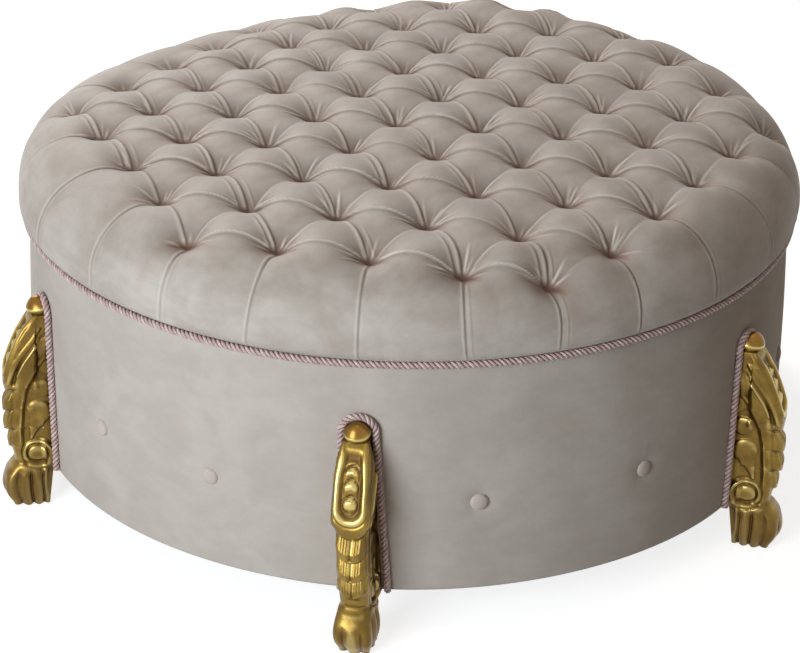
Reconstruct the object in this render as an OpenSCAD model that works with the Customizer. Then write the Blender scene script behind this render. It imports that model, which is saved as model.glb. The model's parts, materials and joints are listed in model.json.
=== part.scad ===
// Round deep-buttoned stool: a tufted velvet seat on a padded velvet drum, rope trims,
// covered side buttons and six carved gilt legs that stand against the outside of the wall.
// Millimetres. The origin is on the floor under the drum's axis, +Z is up, and the first leg
// stands at the front, towards -Y.

/* [Drum] */
// Radius of the velvet at the top of the wall
wall_r = 480; // [440:1:540]
// How far the wall spreads from its top edge to its bottom edge
wall_flare = 12; // [0:1:16]
// Height of the wall's bottom edge above the floor
wall_bottom = 57; // [50:1:70]
// Height of the wall from its bottom edge to its top edge
wall_h = 282; // [260:1:320]
// Thickness of the bent plywood panel
panel_t = 4; // [3:0.5:6]
// Thickness of the wall's padding at its top
padding_t = 6; // [4:0.5:12]
// Thickness of the velvet
velvet_t = 1.5; // [1:0.1:2.5]
// Width of the velvet turned in under the bottom ring
hem_w = 26; // [15:1:40]
// Thickness of the dust cover
dust_cover_t = 0.8; // [0.5:0.1:1.5]

/* [Frame] */
// Thickness of the plywood rings
ring_t = 18; // [15:1:25]
// Width of the plywood rings
ring_w = 72; // [64:1:90]
// Thickness of a post, measured outwards from the drum's axis
post_t = 28; // [22:1:40]
// Width of the posts that carry the legs
leg_post_w = 70; // [50:1:90]
// Width of the posts between the legs
bay_post_w = 45; // [35:1:60]
// Thickness of the seat deck
deck_t = 15; // [12:1:21]

/* [Seat] */
// How far the seat's widest line stands out beyond the wall's top edge
seat_overhang = 12.5; // [8:0.5:20]
// Height of the seat from the wall's top edge to its crown at the middle
seat_h = 119; // [105:1:140]
// Rise of the crown from the shoulder to the middle
crown_rise = 10; // [0:1:20]
// Width of the rounded shoulder
shoulder_w = 106; // [80:1:130]
// Height of the widest line above the wall's top edge
belly_h = 22; // [16:1:30]
// Thickness of the quilting over the middle of the foam
quilt_top_t = 59.5; // [55:0.5:70]
// Thickness of the quilting round the foam's edge
quilt_t = 14; // [8:1:20]

/* [Tufts] */
// Distance between tufts along a row
tuft_pitch = 103; // [95:1:112]
// Distance between rows of tufts
tuft_row_pitch = 92; // [86:1:98]
// Depth of a tuft below the crown of the pillows beside it
tuft_depth = 31; // [20:1:34]
// Diameter of the small buttons at the bottom of the tufts
tuft_button_d = 12; // [8:1:16]
// Diameter of the twine that holds a tuft down
twine_d = 1.6; // [1:0.1:2.5]
// Diameter of the washers let into the deck's underside
tuft_washer_d = 14; // [10:1:18]

/* [Trim] */
// Diameter of the rope in the crease under the seat
seat_cord_d = 8; // [6:0.5:10]
// Diameter of the rope round a leg
leg_cord_d = 8; // [6:0.5:9]
// Half the distance between a leg's two rope ends at the bottom of the wall
leg_cord_spread = 28; // [26:1:36]

/* [Side buttons] */
// Diameter of a side button
side_button_d = 21; // [16:1:28]
// Thickness of a side button at its middle
side_button_t = 6; // [4:0.5:9]
// Height of the side buttons above the wall's bottom edge
side_button_h = 111; // [80:1:150]
// Diameter of the shank of a side button
shank_d = 3; // [2:0.5:4]
// Diameter of the washers inside the wall
side_washer_d = 20; // [16:1:26]

/* [Legs] */
// Height of a leg from the floor to the top of its knob
leg_h = 274; // [262:1:286]
// How far a foot reaches out beyond the wall's top edge
leg_reach = 77; // [70:1:90]
// Width of a leg at its cartouche
leg_w = 39; // [34:1:42]
// Width of a foot
foot_w = 49; // [44:1:56]
// How far the foot's inner edge stands out beyond the wall's top edge at the floor
foot_inset = 20; // [14:1:28]
// Diameter of the knob on top of a leg
knob_d = 30; // [26:1:34]
// Depth of the fluting and of the steps between the lappets
carving_d = 6; // [3:0.5:8]
// Diameter of the volute at the foot of a side scroll
volute_d = 34; // [28:1:38]
// How many degrees the front right pair of legs stands off the even spacing
pair_shift = 2; // [0:0.5:5]
// How many degrees the front left pair of legs stands off the even spacing
left_shift = 1; // [0:0.5:5]

/* [Fasteners] */
// Diameter of the leg bolts
bolt_d = 8; // [6:1:10]
// Length that a leg bolt reaches into the leg
bolt_bite = 22; // [16:1:26]
// Height of the lower leg bolts above the wall's bottom edge
lower_bolt_h = 53; // [40:1:60]
// Height of the upper leg bolts above the wall's bottom edge
upper_bolt_h = 146; // [120:1:155]
// Wall of the threaded insert round a leg bolt
insert_wall = 2.2; // [1.5:0.1:3]
// Diameter of the wood screws
screw_d = 4.5; // [3.5:0.5:6]
// Length of the wood screws
screw_len = 45; // [35:1:60]
// Diameter of the glide under a foot
glide_d = 22; // [16:1:26]
// Height of the glide under a foot
glide_h = 3; // [2:0.5:5]

/* [Hidden] */
// Gap between pieces that meet on a curve
seat_gap = 0.3;
// Radial clearance of a fastener in its hole
hole_gap = 0.15;
// Overrun of a cut past the face that it opens
overrun = 1;
ROUND = 96;
$fn = ROUND;
SMALL = 32;
RIGHT_ANGLE = 90;

// Heights of the drum's pieces
wall_top = wall_bottom + wall_h;
ring_bottom_z = wall_bottom + velvet_t;
post_z = ring_bottom_z + ring_t;
deck_z = wall_top - velvet_t;
ring_top_z = deck_z - ring_t;
post_h = ring_top_z - post_z;
foam_z = deck_z + deck_t;

// Outer radii of the drum's pieces, from the velvet inwards
padding_r = wall_r - velvet_t - seat_gap;
panel_r = padding_r - padding_t - seat_gap;
ring_r = panel_r - panel_t - seat_gap;
ring_inner_r = ring_r - ring_w;
hem_r = panel_r - hem_w;

// Outer radius of the velvet wall at height z
function wall_at(z) = wall_r + wall_flare * (wall_top - z) / wall_h;

// Places of the legs, of the posts between them and of the side buttons, in degrees from the
// front towards +X. The buttons that the eye meets first are set by hand, the rest evenly.
leg_count = 6;
leg_pitch = 360 / leg_count;
leg_turns = [for (i = [0:leg_count - 1]) i * leg_pitch + [0, pair_shift, left_shift][i % 3]];
next_turns = [for (i = [0:leg_count - 1]) i == leg_count - 1 ? 360 : leg_turns[i + 1]];
bay_turns = (leg_turns + next_turns) / 2;
deck_screw_shift = 10;
deck_screw_turns = [for (t = concat(leg_turns, bay_turns)) t + deck_screw_shift];
side_button_turns = [16, 40.5, 82, 101, 140, 160, 200, 220, 262, 281, 318.5, 339];

// Rope trims
leg_cord_gap = 0.6;
loop_r = (knob_d + leg_cord_d) / 2 + leg_cord_gap;
loop_z = leg_h + leg_cord_gap + leg_cord_d / 2 - loop_r;
CORD_SIDES = 8;
CORD_RUN_STEPS = 8;
CORD_LOOP_STEPS = 6;

// Distance of a leg's rope from the middle of the leg at height z
function cord_y(z) = leg_cord_spread
    + (loop_r - leg_cord_spread) * min(1, (z - wall_bottom) / (loop_z - wall_bottom));

// Seat: the crown's height above the wall's top edge at radius r, a low dome in the middle and
// a quarter of a superellipse over the shoulder
seat_r = wall_r + seat_overhang;
shoulder_r = seat_r - shoulder_w;
shoulder_rise = seat_h - crown_rise - belly_h;
SHOULDER_POWER = 2.25;
function crown(r) = r <= shoulder_r
    ? seat_h - crown_rise * pow(r / shoulder_r, 2)
    : belly_h + shoulder_rise
        * pow(max(0, 1 - pow((r - shoulder_r) / shoulder_w, SHOULDER_POWER)), 1 / SHOULDER_POWER);

// The rope in the crease lies against the wall's top edge and the seat's drawn-in foot
seat_foot_r = wall_r + velvet_t;
seat_cord_ring_r = seat_foot_r + seat_gap + seat_cord_d / 2;
seat_cord_z = wall_top + seat_cord_d / 2 + seat_gap;
crease_h = seat_cord_d + 2 * seat_gap;

// Foam block under the quilting, and its bevelled edge as shares of foam_h
foam_r = seat_r - quilt_t;
foam_h = wall_top + seat_h - quilt_top_t - foam_z;
FOAM_EDGE_SHARE = 0.42;
foam_bevel = foam_h * (1 - FOAM_EDGE_SHARE);

// Tufts: rows from the front to the back, each with its first place, counted in half pitches,
// and its number of tufts
tuft_rows = [[0, 5], [-1, 6], [-2, 7], [-3, 8], [-4, 9], [-3, 9], [-2, 8], [-1, 7], [0, 6], [1, 5]];
tuft_mid = (len(tuft_rows) - 1) / 2;
lattice_turn = 2.8;
row_slope_share = 0.072;
row_fan_share = 0.012;
column_lean_share = 0.015;
lattice_shift_share = 0.11;
row_shift_shares = [[0, -0.1], [1, -0.02], [2, 0.01], [6, 0], [7, -0.04], [8, -0.09], [9, -0.03]];
tuft_washer_t = tuft_washer_d / 10;
tuft_button_t = tuft_button_d / 4;
tuft_reach = ring_r - tuft_washer_d / 2 - 2 * tuft_washer_t;

// True where the lattice point k half pitches along row r carries a tuft
function is_tuft(k, r) = r >= 0 && r < len(tuft_rows)
    && (k + r) % 2 == 0
    && k >= tuft_rows[r][0] && k <= tuft_rows[r][0] + 2 * (tuft_rows[r][1] - 1);

// Place of a lattice point on the seat. The rows slope and fan a little, as sewn by hand.
function lattice_xy(k, r) = let (
        u = k - tuft_mid,
        v = r - tuft_mid,
        shift_share = lattice_shift_share + lookup(r, row_shift_shares),
        x = (u / 2 + shift_share) * tuft_pitch - v * column_lean_share * tuft_row_pitch,
        y = v * (1 + row_fan_share * u) * tuft_row_pitch - u * row_slope_share * tuft_pitch / 2
    ) [x * cos(lattice_turn) - y * sin(lattice_turn), x * sin(lattice_turn) + y * cos(lattice_turn)];

// Place of a tuft, drawn in where the lattice would run past the deck
function tuft_xy(k, r) = let (p = lattice_xy(k, r)) p * min(1, tuft_reach / norm(p));
tuft_places = [for (r = [0:len(tuft_rows) - 1], i = [0:tuft_rows[r][1] - 1])
    tuft_xy(tuft_rows[r][0] + 2 * i, r)];

// Height of a tuft's bottom above the floor
function tuft_z(p) = wall_top + crown(norm(p)) - tuft_depth;

// The quilted top is a grid of half steps of the lattice, as wide as the tufts reach. A corner
// sinks by a share of the tuft's depth for each tuft beside it.
PLEAT_SINK_SHARE = 0.46;
SLOPE_SINK_SHARE = 0.36;
function tufts_at(points) = len([for (p = points) if (is_tuft(p[0], p[1])) p]);
function grid_sink(i, j) =
    i % 2 == 0 && j % 2 == 0 ? tufts_at([[i, j] / 2])
    : i % 2 == 0 ? SLOPE_SINK_SHARE * tufts_at([[i, j - 1] / 2, [i, j + 1] / 2])
    : j % 2 == 0 ? SLOPE_SINK_SHARE * tufts_at([[i - 1, j] / 2, [i + 1, j] / 2])
    : PLEAT_SINK_SHARE / 2 * tufts_at([for (a = [-1, 1], b = [-1, 1]) [i + a, j + b] / 2]);
function grid_xy(i, j) = is_tuft(i / 2, j / 2) ? tuft_xy(i / 2, j / 2) : lattice_xy(i / 2, j / 2);
function on_crown(p, sink) = [p[0], p[1], wall_top + crown(norm(p)) - tuft_depth * sink];

// First and last half step of each row of the grid, from one row of tufts to the next
LAST_J = 2 * (len(tuft_rows) - 1);
function row_ends(r) = [2 * tuft_rows[r][0], 2 * (tuft_rows[r][0] + 2 * (tuft_rows[r][1] - 1))];
grid_ends = [for (j = [0:LAST_J]) (row_ends(floor(j / 2)) + row_ends(ceil(j / 2))) / 2];
grid_widths = [for (e = grid_ends) e[1] - e[0] + 1];
grid_starts = [for (j = 0, sum = 0; j <= LAST_J; sum = sum + grid_widths[j], j = j + 1) sum];

// The seat's side as stations from the tufts' edge to the foot: how far each lies along the
// shoulder's curve, and how much of a pleat's depth is left there
shoulder_shares = [[0.3, 0.42], [0.55, 0.24], [0.78, 0.12], [1, 0.06]];
under_shares = [[0.72, 0.5], [0, 1]];
function shoulder_at(a) = [
    shoulder_r + shoulder_w * pow(sin(a), 2 / SHOULDER_POWER),
    belly_h + shoulder_rise * pow(max(0, cos(a)), 2 / SHOULDER_POWER)];
function shoulder_angle(r) = r <= shoulder_r ? 0
    : asin(pow(min(1, (r - shoulder_r) / shoulder_w), SHOULDER_POWER / 2));

// Leg: levels from the floor up, each [height, reach of the front, half width, dip of the
// lappet's middle], as shares of leg_h, leg_reach, half the width of the foot or of the leg,
// and lappet_dip
lappet_dip = leg_w / 5;
foot_level_shares = [
    [0.028, 0.88, 0.90, 0], [0.075, 0.99, 1.00, 0], [0.125, 0.98, 0.97, 0], [0.168, 0.91, 0.87, 0],
    [0.198, 0.80, 0.74, 0]];
stem_level_shares = [
    [0.224, 0.74, 0.86, 0], [0.262, 0.76, 0.86, 0], [0.300, 0.78, 0.87, 1],
    [0.307, 0.83, 0.92, 1], [0.340, 0.84, 0.92, 1], [0.386, 0.79, 0.87, 1],
    [0.393, 0.88, 0.93, 1], [0.425, 0.89, 0.93, 1], [0.481, 0.81, 0.87, 1],
    [0.488, 0.88, 0.93, 1], [0.526, 0.88, 0.93, 1], [0.582, 0.74, 0.88, 1],
    [0.592, 0.82, 1.00, 1], [0.625, 0.84, 1.00, 0.6], [0.675, 0.81, 1.00, 0.2],
    [0.725, 0.74, 1.00, 0], [0.775, 0.66, 1.00, 0], [0.825, 0.57, 0.98, 0],
    [0.868, 0.47, 0.94, 0], [0.903, 0.37, 0.80, 0], [0.930, 0.29, 0.64, 0]];
SOLE_SHARE = 0.86;
leg_levels = concat(
    [[glide_h, SOLE_SHARE * leg_reach, SOLE_SHARE * foot_w / 2, 0]],
    [for (l = foot_level_shares) [l[0] * leg_h, l[1] * leg_reach, l[2] * foot_w / 2, 0]],
    [for (l = stem_level_shares) [l[0] * leg_h, l[1] * leg_reach, l[2] * leg_w / 2,
        l[3] * lappet_dip]]);

// A leg's back at height z: inside the wall's face above its bottom edge, where the wall cuts
// it to fit, and slanting out below it
function leg_back_at(z) = z < wall_bottom
    ? foot_inset + (wall_flare - foot_inset) * z / wall_bottom
    : -velvet_t;

// The leg's back is narrow enough to stand between the two runs of its rope
cord_zone = wall_flare + leg_cord_d + leg_cord_gap;
function leg_back_w(z, w) = min(w, cord_y(z) - leg_cord_d / 2 - 2 * leg_cord_gap);

// One ring of the leg's skin, from the back corner on one side round the front to the other
FRONT_STEPS = 10;
FRONT_POWER = 0.72;
function leg_ring(l) = let (
        z = l[0], w = l[2],
        back = leg_back_at(z),
        back_w = leg_back_w(z, w),
        mid = max(back + seat_gap, min(cord_zone, l[1] - w / 2)),
        depth = min(0.9 * w, l[1] - mid - seat_gap),
        centre = l[1] - depth
    ) concat(
        [[wall_r + back, -back_w, z], [wall_r + mid, -back_w, z]],
        [for (a = [-90:180 / FRONT_STEPS:90]) let (
                c = pow(max(0, cos(a)), FRONT_POWER),
                s = sign(a) * pow(abs(sin(a)), FRONT_POWER)
            ) [wall_r + centre + depth * c, w * s, z - l[3] * c * (1 - s * s)]],
        [[wall_r + mid, back_w, z], [wall_r + back, back_w, z]]);

// Places on a leg, [distance beyond the wall's top radius, height], from shares of its reach
// and height
function on_leg(share) = [share[0] * leg_reach, share[1] * leg_h];
cartouche_foot = on_leg([0.86, 0.645]);
cartouche_head = on_leg([0.44, 0.885]);
cartouche_len = norm(cartouche_head - cartouche_foot);
cartouche_lean = atan2(cartouche_foot[0] - cartouche_head[0], cartouche_head[1] - cartouche_foot[1]);
recess_w = 0.62 * leg_w;
rim_r = carving_d / 2;
husk_shares = [0.24, 0.48, 0.70];
scroll_mid = on_leg([-0.93, 0.467]);
scroll_r = norm(on_leg([0.61, 0.467]) - scroll_mid);
scroll_arc = [-31, 37];
volute_mid = on_leg([0.385, 0.25]);
leaf_shares = [[0.31, 0.43], [0.25, 0.55], [0.21, 0.66]];
leaf_size_shares = [0.33, 0.27, 0.22];
flute_turns = [-78, -47, -16, 16, 47, 78];

// Leg bolts
bolt_heights = [wall_bottom + lower_bolt_h, wall_bottom + upper_bolt_h];
bolt_head_h = 0.65 * bolt_d;
bolt_head_r = 0.9 * bolt_d;
bolt_washer_t = bolt_d / 5;
leg_post_x = sqrt(pow(ring_r - seat_gap, 2) - pow(leg_post_w / 2, 2));
bay_post_x = sqrt(pow(ring_r - seat_gap, 2) - pow(bay_post_w / 2, 2));
bolt_end_x = wall_r + wall_flare + bolt_bite;
insert_r = bolt_d / 2 + insert_wall;
deck_screw_len = deck_t + 0.8 * ring_t;
deck_screw_r = ring_inner_r + 0.45 * ring_w;
side_button_z = wall_bottom + side_button_h;
side_washer_t = side_washer_d / 14;

// Turns a piece that is drawn towards +X so that it faces its place round the drum
module at_turn(turn) rotate([0, 0, turn - 90]) children();

// Cylinder or cone from point a to point b
module rod(a, b, r1, r2) {
    v = b - a;
    translate(a) rotate([0, acos(v[2] / norm(v)), atan2(v[1], v[0])])
        cylinder(h = norm(v), r1 = r1, r2 = r2, $fn = SMALL);
}

// Cylinder that runs outwards from x0 to x1 at height z
module radial(x0, x1, z, r) translate([x0, 0, z]) rotate([0, 90, 0])
    cylinder(h = x1 - x0, r = r, $fn = SMALL);

// Ring with a rectangular section
module flat_ring(r_out, r_in, z, h) translate([0, 0, z]) difference() {
    cylinder(h = h, r = r_out);
    translate([0, 0, -overrun]) cylinder(h = h + 2 * overrun, r = r_in);
}

// Countersunk wood screw, head up with its top at z = 0, and the hole that it needs
module wood_screw(length, gap = 0) rotate_extrude($fn = SMALL) polygon([
    [0, gap > 0 ? overrun : 0], [screw_d + gap, gap > 0 ? overrun : 0], [screw_d + gap, 0],
    [screw_d / 2 + gap, -screw_d / 2], [screw_d / 2 + gap, -length + screw_d],
    [screw_d / 8 + gap, -length - gap], [0, -length - gap]]);

// Closed skin over rings that all have the same number of points, its ends closed by fans
function middle(points) = [for (c = [0:2]) let (
    low = min([for (p = points) p[c]]), high = max([for (p = points) p[c]])) (low + high) / 2];
module skin(rings) {
    n = len(rings[0]);
    top = len(rings) - 1;
    foot = n * (top + 1);
    function corner(j, i) = j * n + i % n;
    polyhedron(
        points = concat([for (ring = rings) each ring], [middle(rings[0]), middle(rings[top])]),
        faces = concat(
            [for (j = [0:top - 1], i = [0:n - 1]) each [
                [corner(j, i), corner(j + 1, i), corner(j + 1, i + 1)],
                [corner(j, i), corner(j + 1, i + 1), corner(j, i + 1)]]],
            [for (i = [0:n - 1]) each [
                [corner(0, i), corner(0, i + 1), foot],
                [corner(top, i + 1), corner(top, i), foot + 1]]]));
}

// Screws that hold the posts, seen from the ring: at each post's middle
module at_post_screws(z) {
    for (t = leg_turns) at_turn(t) translate([leg_post_x - post_t / 2, 0, z]) children();
    for (t = bay_turns) at_turn(t) translate([bay_post_x - post_t / 2, 0, z]) children();
}

module at_deck_screws() for (t = deck_screw_turns)
    at_turn(t) translate([deck_screw_r, 0, foam_z]) children();

// The holes that legs and side buttons need in the layers of the wall
module wall_holes() {
    for (t = leg_turns, z = bolt_heights) at_turn(t)
        radial(ring_inner_r, bolt_end_x, z, bolt_d / 2 + hole_gap);
    for (t = side_button_turns) at_turn(t)
        radial(ring_inner_r, bolt_end_x, side_button_z, shank_d / 2 + hole_gap);
}

module bottom_ring() color("burlywood") difference() {
    flat_ring(ring_r, ring_inner_r, ring_bottom_z, ring_t);
    at_post_screws(ring_bottom_z) mirror([0, 0, 1]) wood_screw(screw_len, hole_gap);
}

module top_ring() color("burlywood") difference() {
    flat_ring(ring_r, ring_inner_r, ring_top_z, ring_t);
    at_post_screws(deck_z) wood_screw(screw_len, hole_gap);
    at_deck_screws() wood_screw(deck_screw_len, hole_gap);
}

module post(x, w) translate([x - post_t, -w / 2, post_z]) cube([post_t, w, post_h]);

module post_pilots(x) {
    translate([x - post_t / 2, 0, ring_bottom_z]) mirror([0, 0, 1]) wood_screw(screw_len, hole_gap);
    translate([x - post_t / 2, 0, deck_z]) wood_screw(screw_len, hole_gap);
}

module leg_post(i) color("wheat") at_turn(leg_turns[i]) difference() {
    post(leg_post_x, leg_post_w);
    post_pilots(leg_post_x);
    for (z = bolt_heights) radial(ring_inner_r, bolt_end_x, z, bolt_d / 2 + hole_gap);
}

module bay_post(i) color("wheat") at_turn(bay_turns[i]) difference() {
    post(bay_post_x, bay_post_w);
    post_pilots(bay_post_x);
}

module bottom_ring_screws() color("silver") at_post_screws(ring_bottom_z)
    mirror([0, 0, 1]) wood_screw(screw_len);

module top_ring_screws() color("silver") at_post_screws(deck_z) wood_screw(screw_len);

module wall_panel() color("tan") difference() {
    flat_ring(panel_r, panel_r - panel_t, ring_bottom_z, deck_z - ring_bottom_z);
    wall_holes();
}

// Layer of the wall between a straight inner face and the spreading face of the velvet
module wall_padding() color("ivory") difference() {
    rotate_extrude() polygon([
        [panel_r + seat_gap, ring_bottom_z + seat_gap],
        [padding_r + wall_flare, ring_bottom_z + seat_gap],
        [padding_r, deck_z - seat_gap], [panel_r + seat_gap, deck_z - seat_gap]]);
    wall_holes();
}

module wall_cover() color("rosybrown") difference() {
    rotate_extrude() polygon([
        [hem_r, wall_bottom], [wall_r + wall_flare, wall_bottom], [wall_r, wall_top],
        [ring_r + seat_gap, wall_top], [ring_r + seat_gap, deck_z], [wall_r - velvet_t, deck_z],
        [wall_r + wall_flare - velvet_t, ring_bottom_z], [hem_r, ring_bottom_z]]);
    wall_holes();
}

module dust_cover() color("dimgray") translate([0, 0, ring_bottom_z - dust_cover_t])
    cylinder(h = dust_cover_t, r = hem_r - seat_gap);

// Domed button with its shank through the wall
module side_buttons() color("mistyrose") for (t = side_button_turns) at_turn(t) {
    seat_x = wall_at(side_button_z - side_button_d / 2) + seat_gap;
    translate([seat_x, 0, side_button_z]) rotate([0, 90, 0]) rotate_extrude($fn = SMALL)
        polygon(concat([[0, 0]], [for (a = [0:15:90])
            [side_button_d / 2 * cos(a), side_button_t * (1 + 2 * sin(a)) / 3]]));
    radial(panel_r - panel_t - side_washer_t, seat_x + side_button_t / 3, side_button_z, shank_d / 2);
}

module side_button_washers() color("gainsboro") for (t = side_button_turns) at_turn(t) difference() {
    washer_x = sqrt(pow(panel_r - panel_t, 2) - pow(side_washer_d / 2, 2)) - seat_gap;
    radial(washer_x - side_washer_t, washer_x, side_button_z, side_washer_d / 2);
    radial(washer_x - 2 * side_washer_t, washer_x + side_washer_t, side_button_z,
        shank_d / 2 + hole_gap);
}

module seat_deck() color("burlywood") difference() {
    translate([0, 0, deck_z]) cylinder(h = deck_t, r = ring_r);
    for (p = tuft_places) translate([p[0], p[1], deck_z - overrun]) {
        cylinder(h = deck_t + 2 * overrun, r = twine_d / 2 + hole_gap, $fn = SMALL);
        cylinder(h = overrun + tuft_washer_t + hole_gap, r = tuft_washer_d / 2 + hole_gap,
            $fn = SMALL);
    }
    at_deck_screws() wood_screw(deck_screw_len, hole_gap);
}

module deck_screws() color("silver") at_deck_screws() wood_screw(deck_screw_len);

module seat_foam() color("khaki") difference() {
    translate([0, 0, foam_z]) rotate_extrude() polygon([
        [0, 0], [foam_r, 0], [foam_r, foam_h - foam_bevel],
        [foam_r - foam_bevel, foam_h - foam_bevel / 4], [foam_r - 2 * foam_bevel, foam_h],
        [0, foam_h]]);
    for (p = tuft_places) translate([p[0], p[1], foam_z - overrun])
        cylinder(h = foam_h + 2 * overrun, r = twine_d / 2 + hole_gap, $fn = SMALL);
}

// Space inside the seat's cover: the deck's edge and the foam
module seat_inside() rotate_extrude() polygon([
    [0, wall_top - overrun], [ring_r + seat_gap, wall_top - overrun], [ring_r + seat_gap, foam_z],
    [foam_r + seat_gap, foam_z], [foam_r + seat_gap, foam_z + foam_h - foam_bevel + seat_gap],
    [foam_r - foam_bevel + seat_gap, foam_z + foam_h - foam_bevel / 4 + seat_gap],
    [foam_r - 2 * foam_bevel + seat_gap, foam_z + foam_h + seat_gap],
    [0, foam_z + foam_h + seat_gap]]);

// Quilted seat: the grid of tufts on top, then rings that carry the pleats of the edge tufts
// over the shoulder and in to the crease
module quilted_seat() {
    function at(i, j) = grid_starts[j] + i - grid_ends[j][0];
    function rising(i, j) = (floor(i / 2) + floor(j / 2)) % 2 == 0;
    grid = [for (j = [0:LAST_J], i = [grid_ends[j][0]:grid_ends[j][1]]) [i, j]];
    loop = concat(
        [for (i = [grid_ends[0][0]:grid_ends[0][1]]) [i, 0]],
        [for (j = [1:LAST_J - 1]) [grid_ends[j][1], j]],
        [for (i = [grid_ends[LAST_J][1]:-1:grid_ends[LAST_J][0]]) [i, LAST_J]],
        [for (j = [LAST_J - 1:-1:1]) [grid_ends[j][0], j]]);
    n = len(loop);
    edge = [for (c = loop) let (p = grid_xy(c[0], c[1]))
        [p / norm(p), norm(p), grid_sink(c[0], c[1])]];
    shoulder = [for (s = shoulder_shares, e = edge) let (
            a0 = shoulder_angle(e[1]),
            q = shoulder_at(a0 + (RIGHT_ANGLE - a0) * s[0]),
            pull = tuft_depth * s[1] * e[2],
            r = q[0] - pull * s[0]
        ) [e[0][0] * r, e[0][1] * r, wall_top + q[1] - pull * (1 - s[0])]];
    under = [for (s = under_shares, e = edge) let (r = seat_foot_r + (seat_r - seat_foot_r) * s[0])
        [e[0][0] * r, e[0][1] * r, wall_top + belly_h + (crease_h - belly_h) * s[1]]];
    foot = [for (e = edge) [e[0][0] * seat_foot_r, e[0][1] * seat_foot_r, wall_top + seat_gap]];
    first = len(grid);
    rings = len(shoulder_shares) + len(under_shares) + 1;
    hub = first + n * rings;
    function side(t, c) = t < 0 ? at(loop[c % n][0], loop[c % n][1]) : first + t * n + c % n;
    polyhedron(
        points = concat([for (c = grid) on_crown(grid_xy(c[0], c[1]), grid_sink(c[0], c[1]))],
            shoulder, under, foot, [[0, 0, wall_top + seat_gap]]),
        faces = concat(
            [for (j = [0:LAST_J - 1]) let (
                    lo = max(grid_ends[j][0], grid_ends[j + 1][0]),
                    hi = min(grid_ends[j][1], grid_ends[j + 1][1])
                ) each concat(
                    [for (i = [lo:hi - 1]) each rising(i, j)
                        ? [[at(i, j), at(i, j + 1), at(i + 1, j + 1)],
                            [at(i, j), at(i + 1, j + 1), at(i + 1, j)]]
                        : [[at(i, j), at(i, j + 1), at(i + 1, j)],
                            [at(i + 1, j), at(i, j + 1), at(i + 1, j + 1)]]],
                    grid_ends[j][0] < lo ? [[at(lo - 1, j), at(lo, j + 1), at(lo, j)]]
                        : grid_ends[j + 1][0] < lo
                            ? [[at(lo, j), at(lo - 1, j + 1), at(lo, j + 1)]] : [],
                    grid_ends[j][1] > hi ? [[at(hi, j), at(hi, j + 1), at(hi + 1, j)]]
                        : grid_ends[j + 1][1] > hi
                            ? [[at(hi, j), at(hi, j + 1), at(hi + 1, j + 1)]] : [])],
            [for (t = [-1:rings - 2], c = [0:n - 1]) each [
                [side(t + 1, c), side(t, c), side(t, c + 1)],
                [side(t + 1, c), side(t, c + 1), side(t + 1, c + 1)]]],
            [for (c = [0:n - 1]) [side(rings - 1, c), side(rings - 1, c + 1), hub]]));
}

module seat_cover() color("rosybrown") difference() {
    quilted_seat();
    seat_inside();
    for (p = tuft_places) translate([p[0], p[1], foam_z]) {
        cylinder(h = tuft_z(p) - foam_z, r = twine_d / 2 + hole_gap, $fn = SMALL);
        translate([0, 0, tuft_z(p) - tuft_button_t - foam_z])
            cylinder(h = 3 * tuft_button_t, r = tuft_button_d / 2 + hole_gap, $fn = SMALL);
    }
}

module tuft_buttons() color("rosybrown") for (p = tuft_places)
    translate([p[0], p[1], tuft_z(p) - tuft_button_t + hole_gap])
        cylinder(h = tuft_button_t, r = tuft_button_d / 2, $fn = SMALL);

module tuft_twines() color("white") for (p = tuft_places)
    translate([p[0], p[1], deck_z]) cylinder(h = tuft_z(p) - tuft_button_t + hole_gap - deck_z,
        r = twine_d / 2, $fn = SMALL);

module tuft_washers() color("gainsboro") for (p = tuft_places)
    translate([p[0], p[1], deck_z]) difference() {
        cylinder(h = tuft_washer_t, r = tuft_washer_d / 2, $fn = SMALL);
        translate([0, 0, -overrun]) cylinder(h = tuft_washer_t + 2 * overrun,
            r = twine_d / 2 + hole_gap, $fn = SMALL);
    }

module seat_cord() color("pink") translate([0, 0, seat_cord_z]) rotate_extrude()
    translate([seat_cord_ring_r, 0]) circle(r = seat_cord_d / 2, $fn = SMALL);

// Rope round a leg: up one side, over the knob and down the other, against the wall all the way
function cord_route() = concat(
    [for (i = [0:CORD_RUN_STEPS - 1]) let (
            z = wall_bottom + (loop_z - wall_bottom) * i / CORD_RUN_STEPS) [-cord_y(z), z]],
    [for (a = [0:180 / CORD_LOOP_STEPS:180]) [-loop_r * cos(a), loop_z + loop_r * sin(a)]],
    [for (i = [CORD_RUN_STEPS - 1:-1:0]) let (
            z = wall_bottom + (loop_z - wall_bottom) * i / CORD_RUN_STEPS) [cord_y(z), z]]);

module leg_cord(i) color("pink") at_turn(leg_turns[i]) {
    route = cord_route();
    last = len(route) - 1;
    r = leg_cord_d / 2;
    skin([for (j = [0:last]) let (
            p = route[j],
            along = route[min(j + 1, last)] - route[max(j - 1, 0)],
            side = j == 0 || j == last ? [sign(along[1]), 0] : [along[1], -along[0]] / norm(along),
            x = sqrt(pow(wall_at(p[1]) + seat_gap + r, 2) - pow(p[0], 2))
        ) [for (a = [0:360 / CORD_SIDES:359])
            [x + r * sin(a), p[0] + r * cos(a) * side[0], p[1] + r * cos(a) * side[1]]]]);
}

module leg_body() skin([for (l = leg_levels) leg_ring(l)]);

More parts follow.
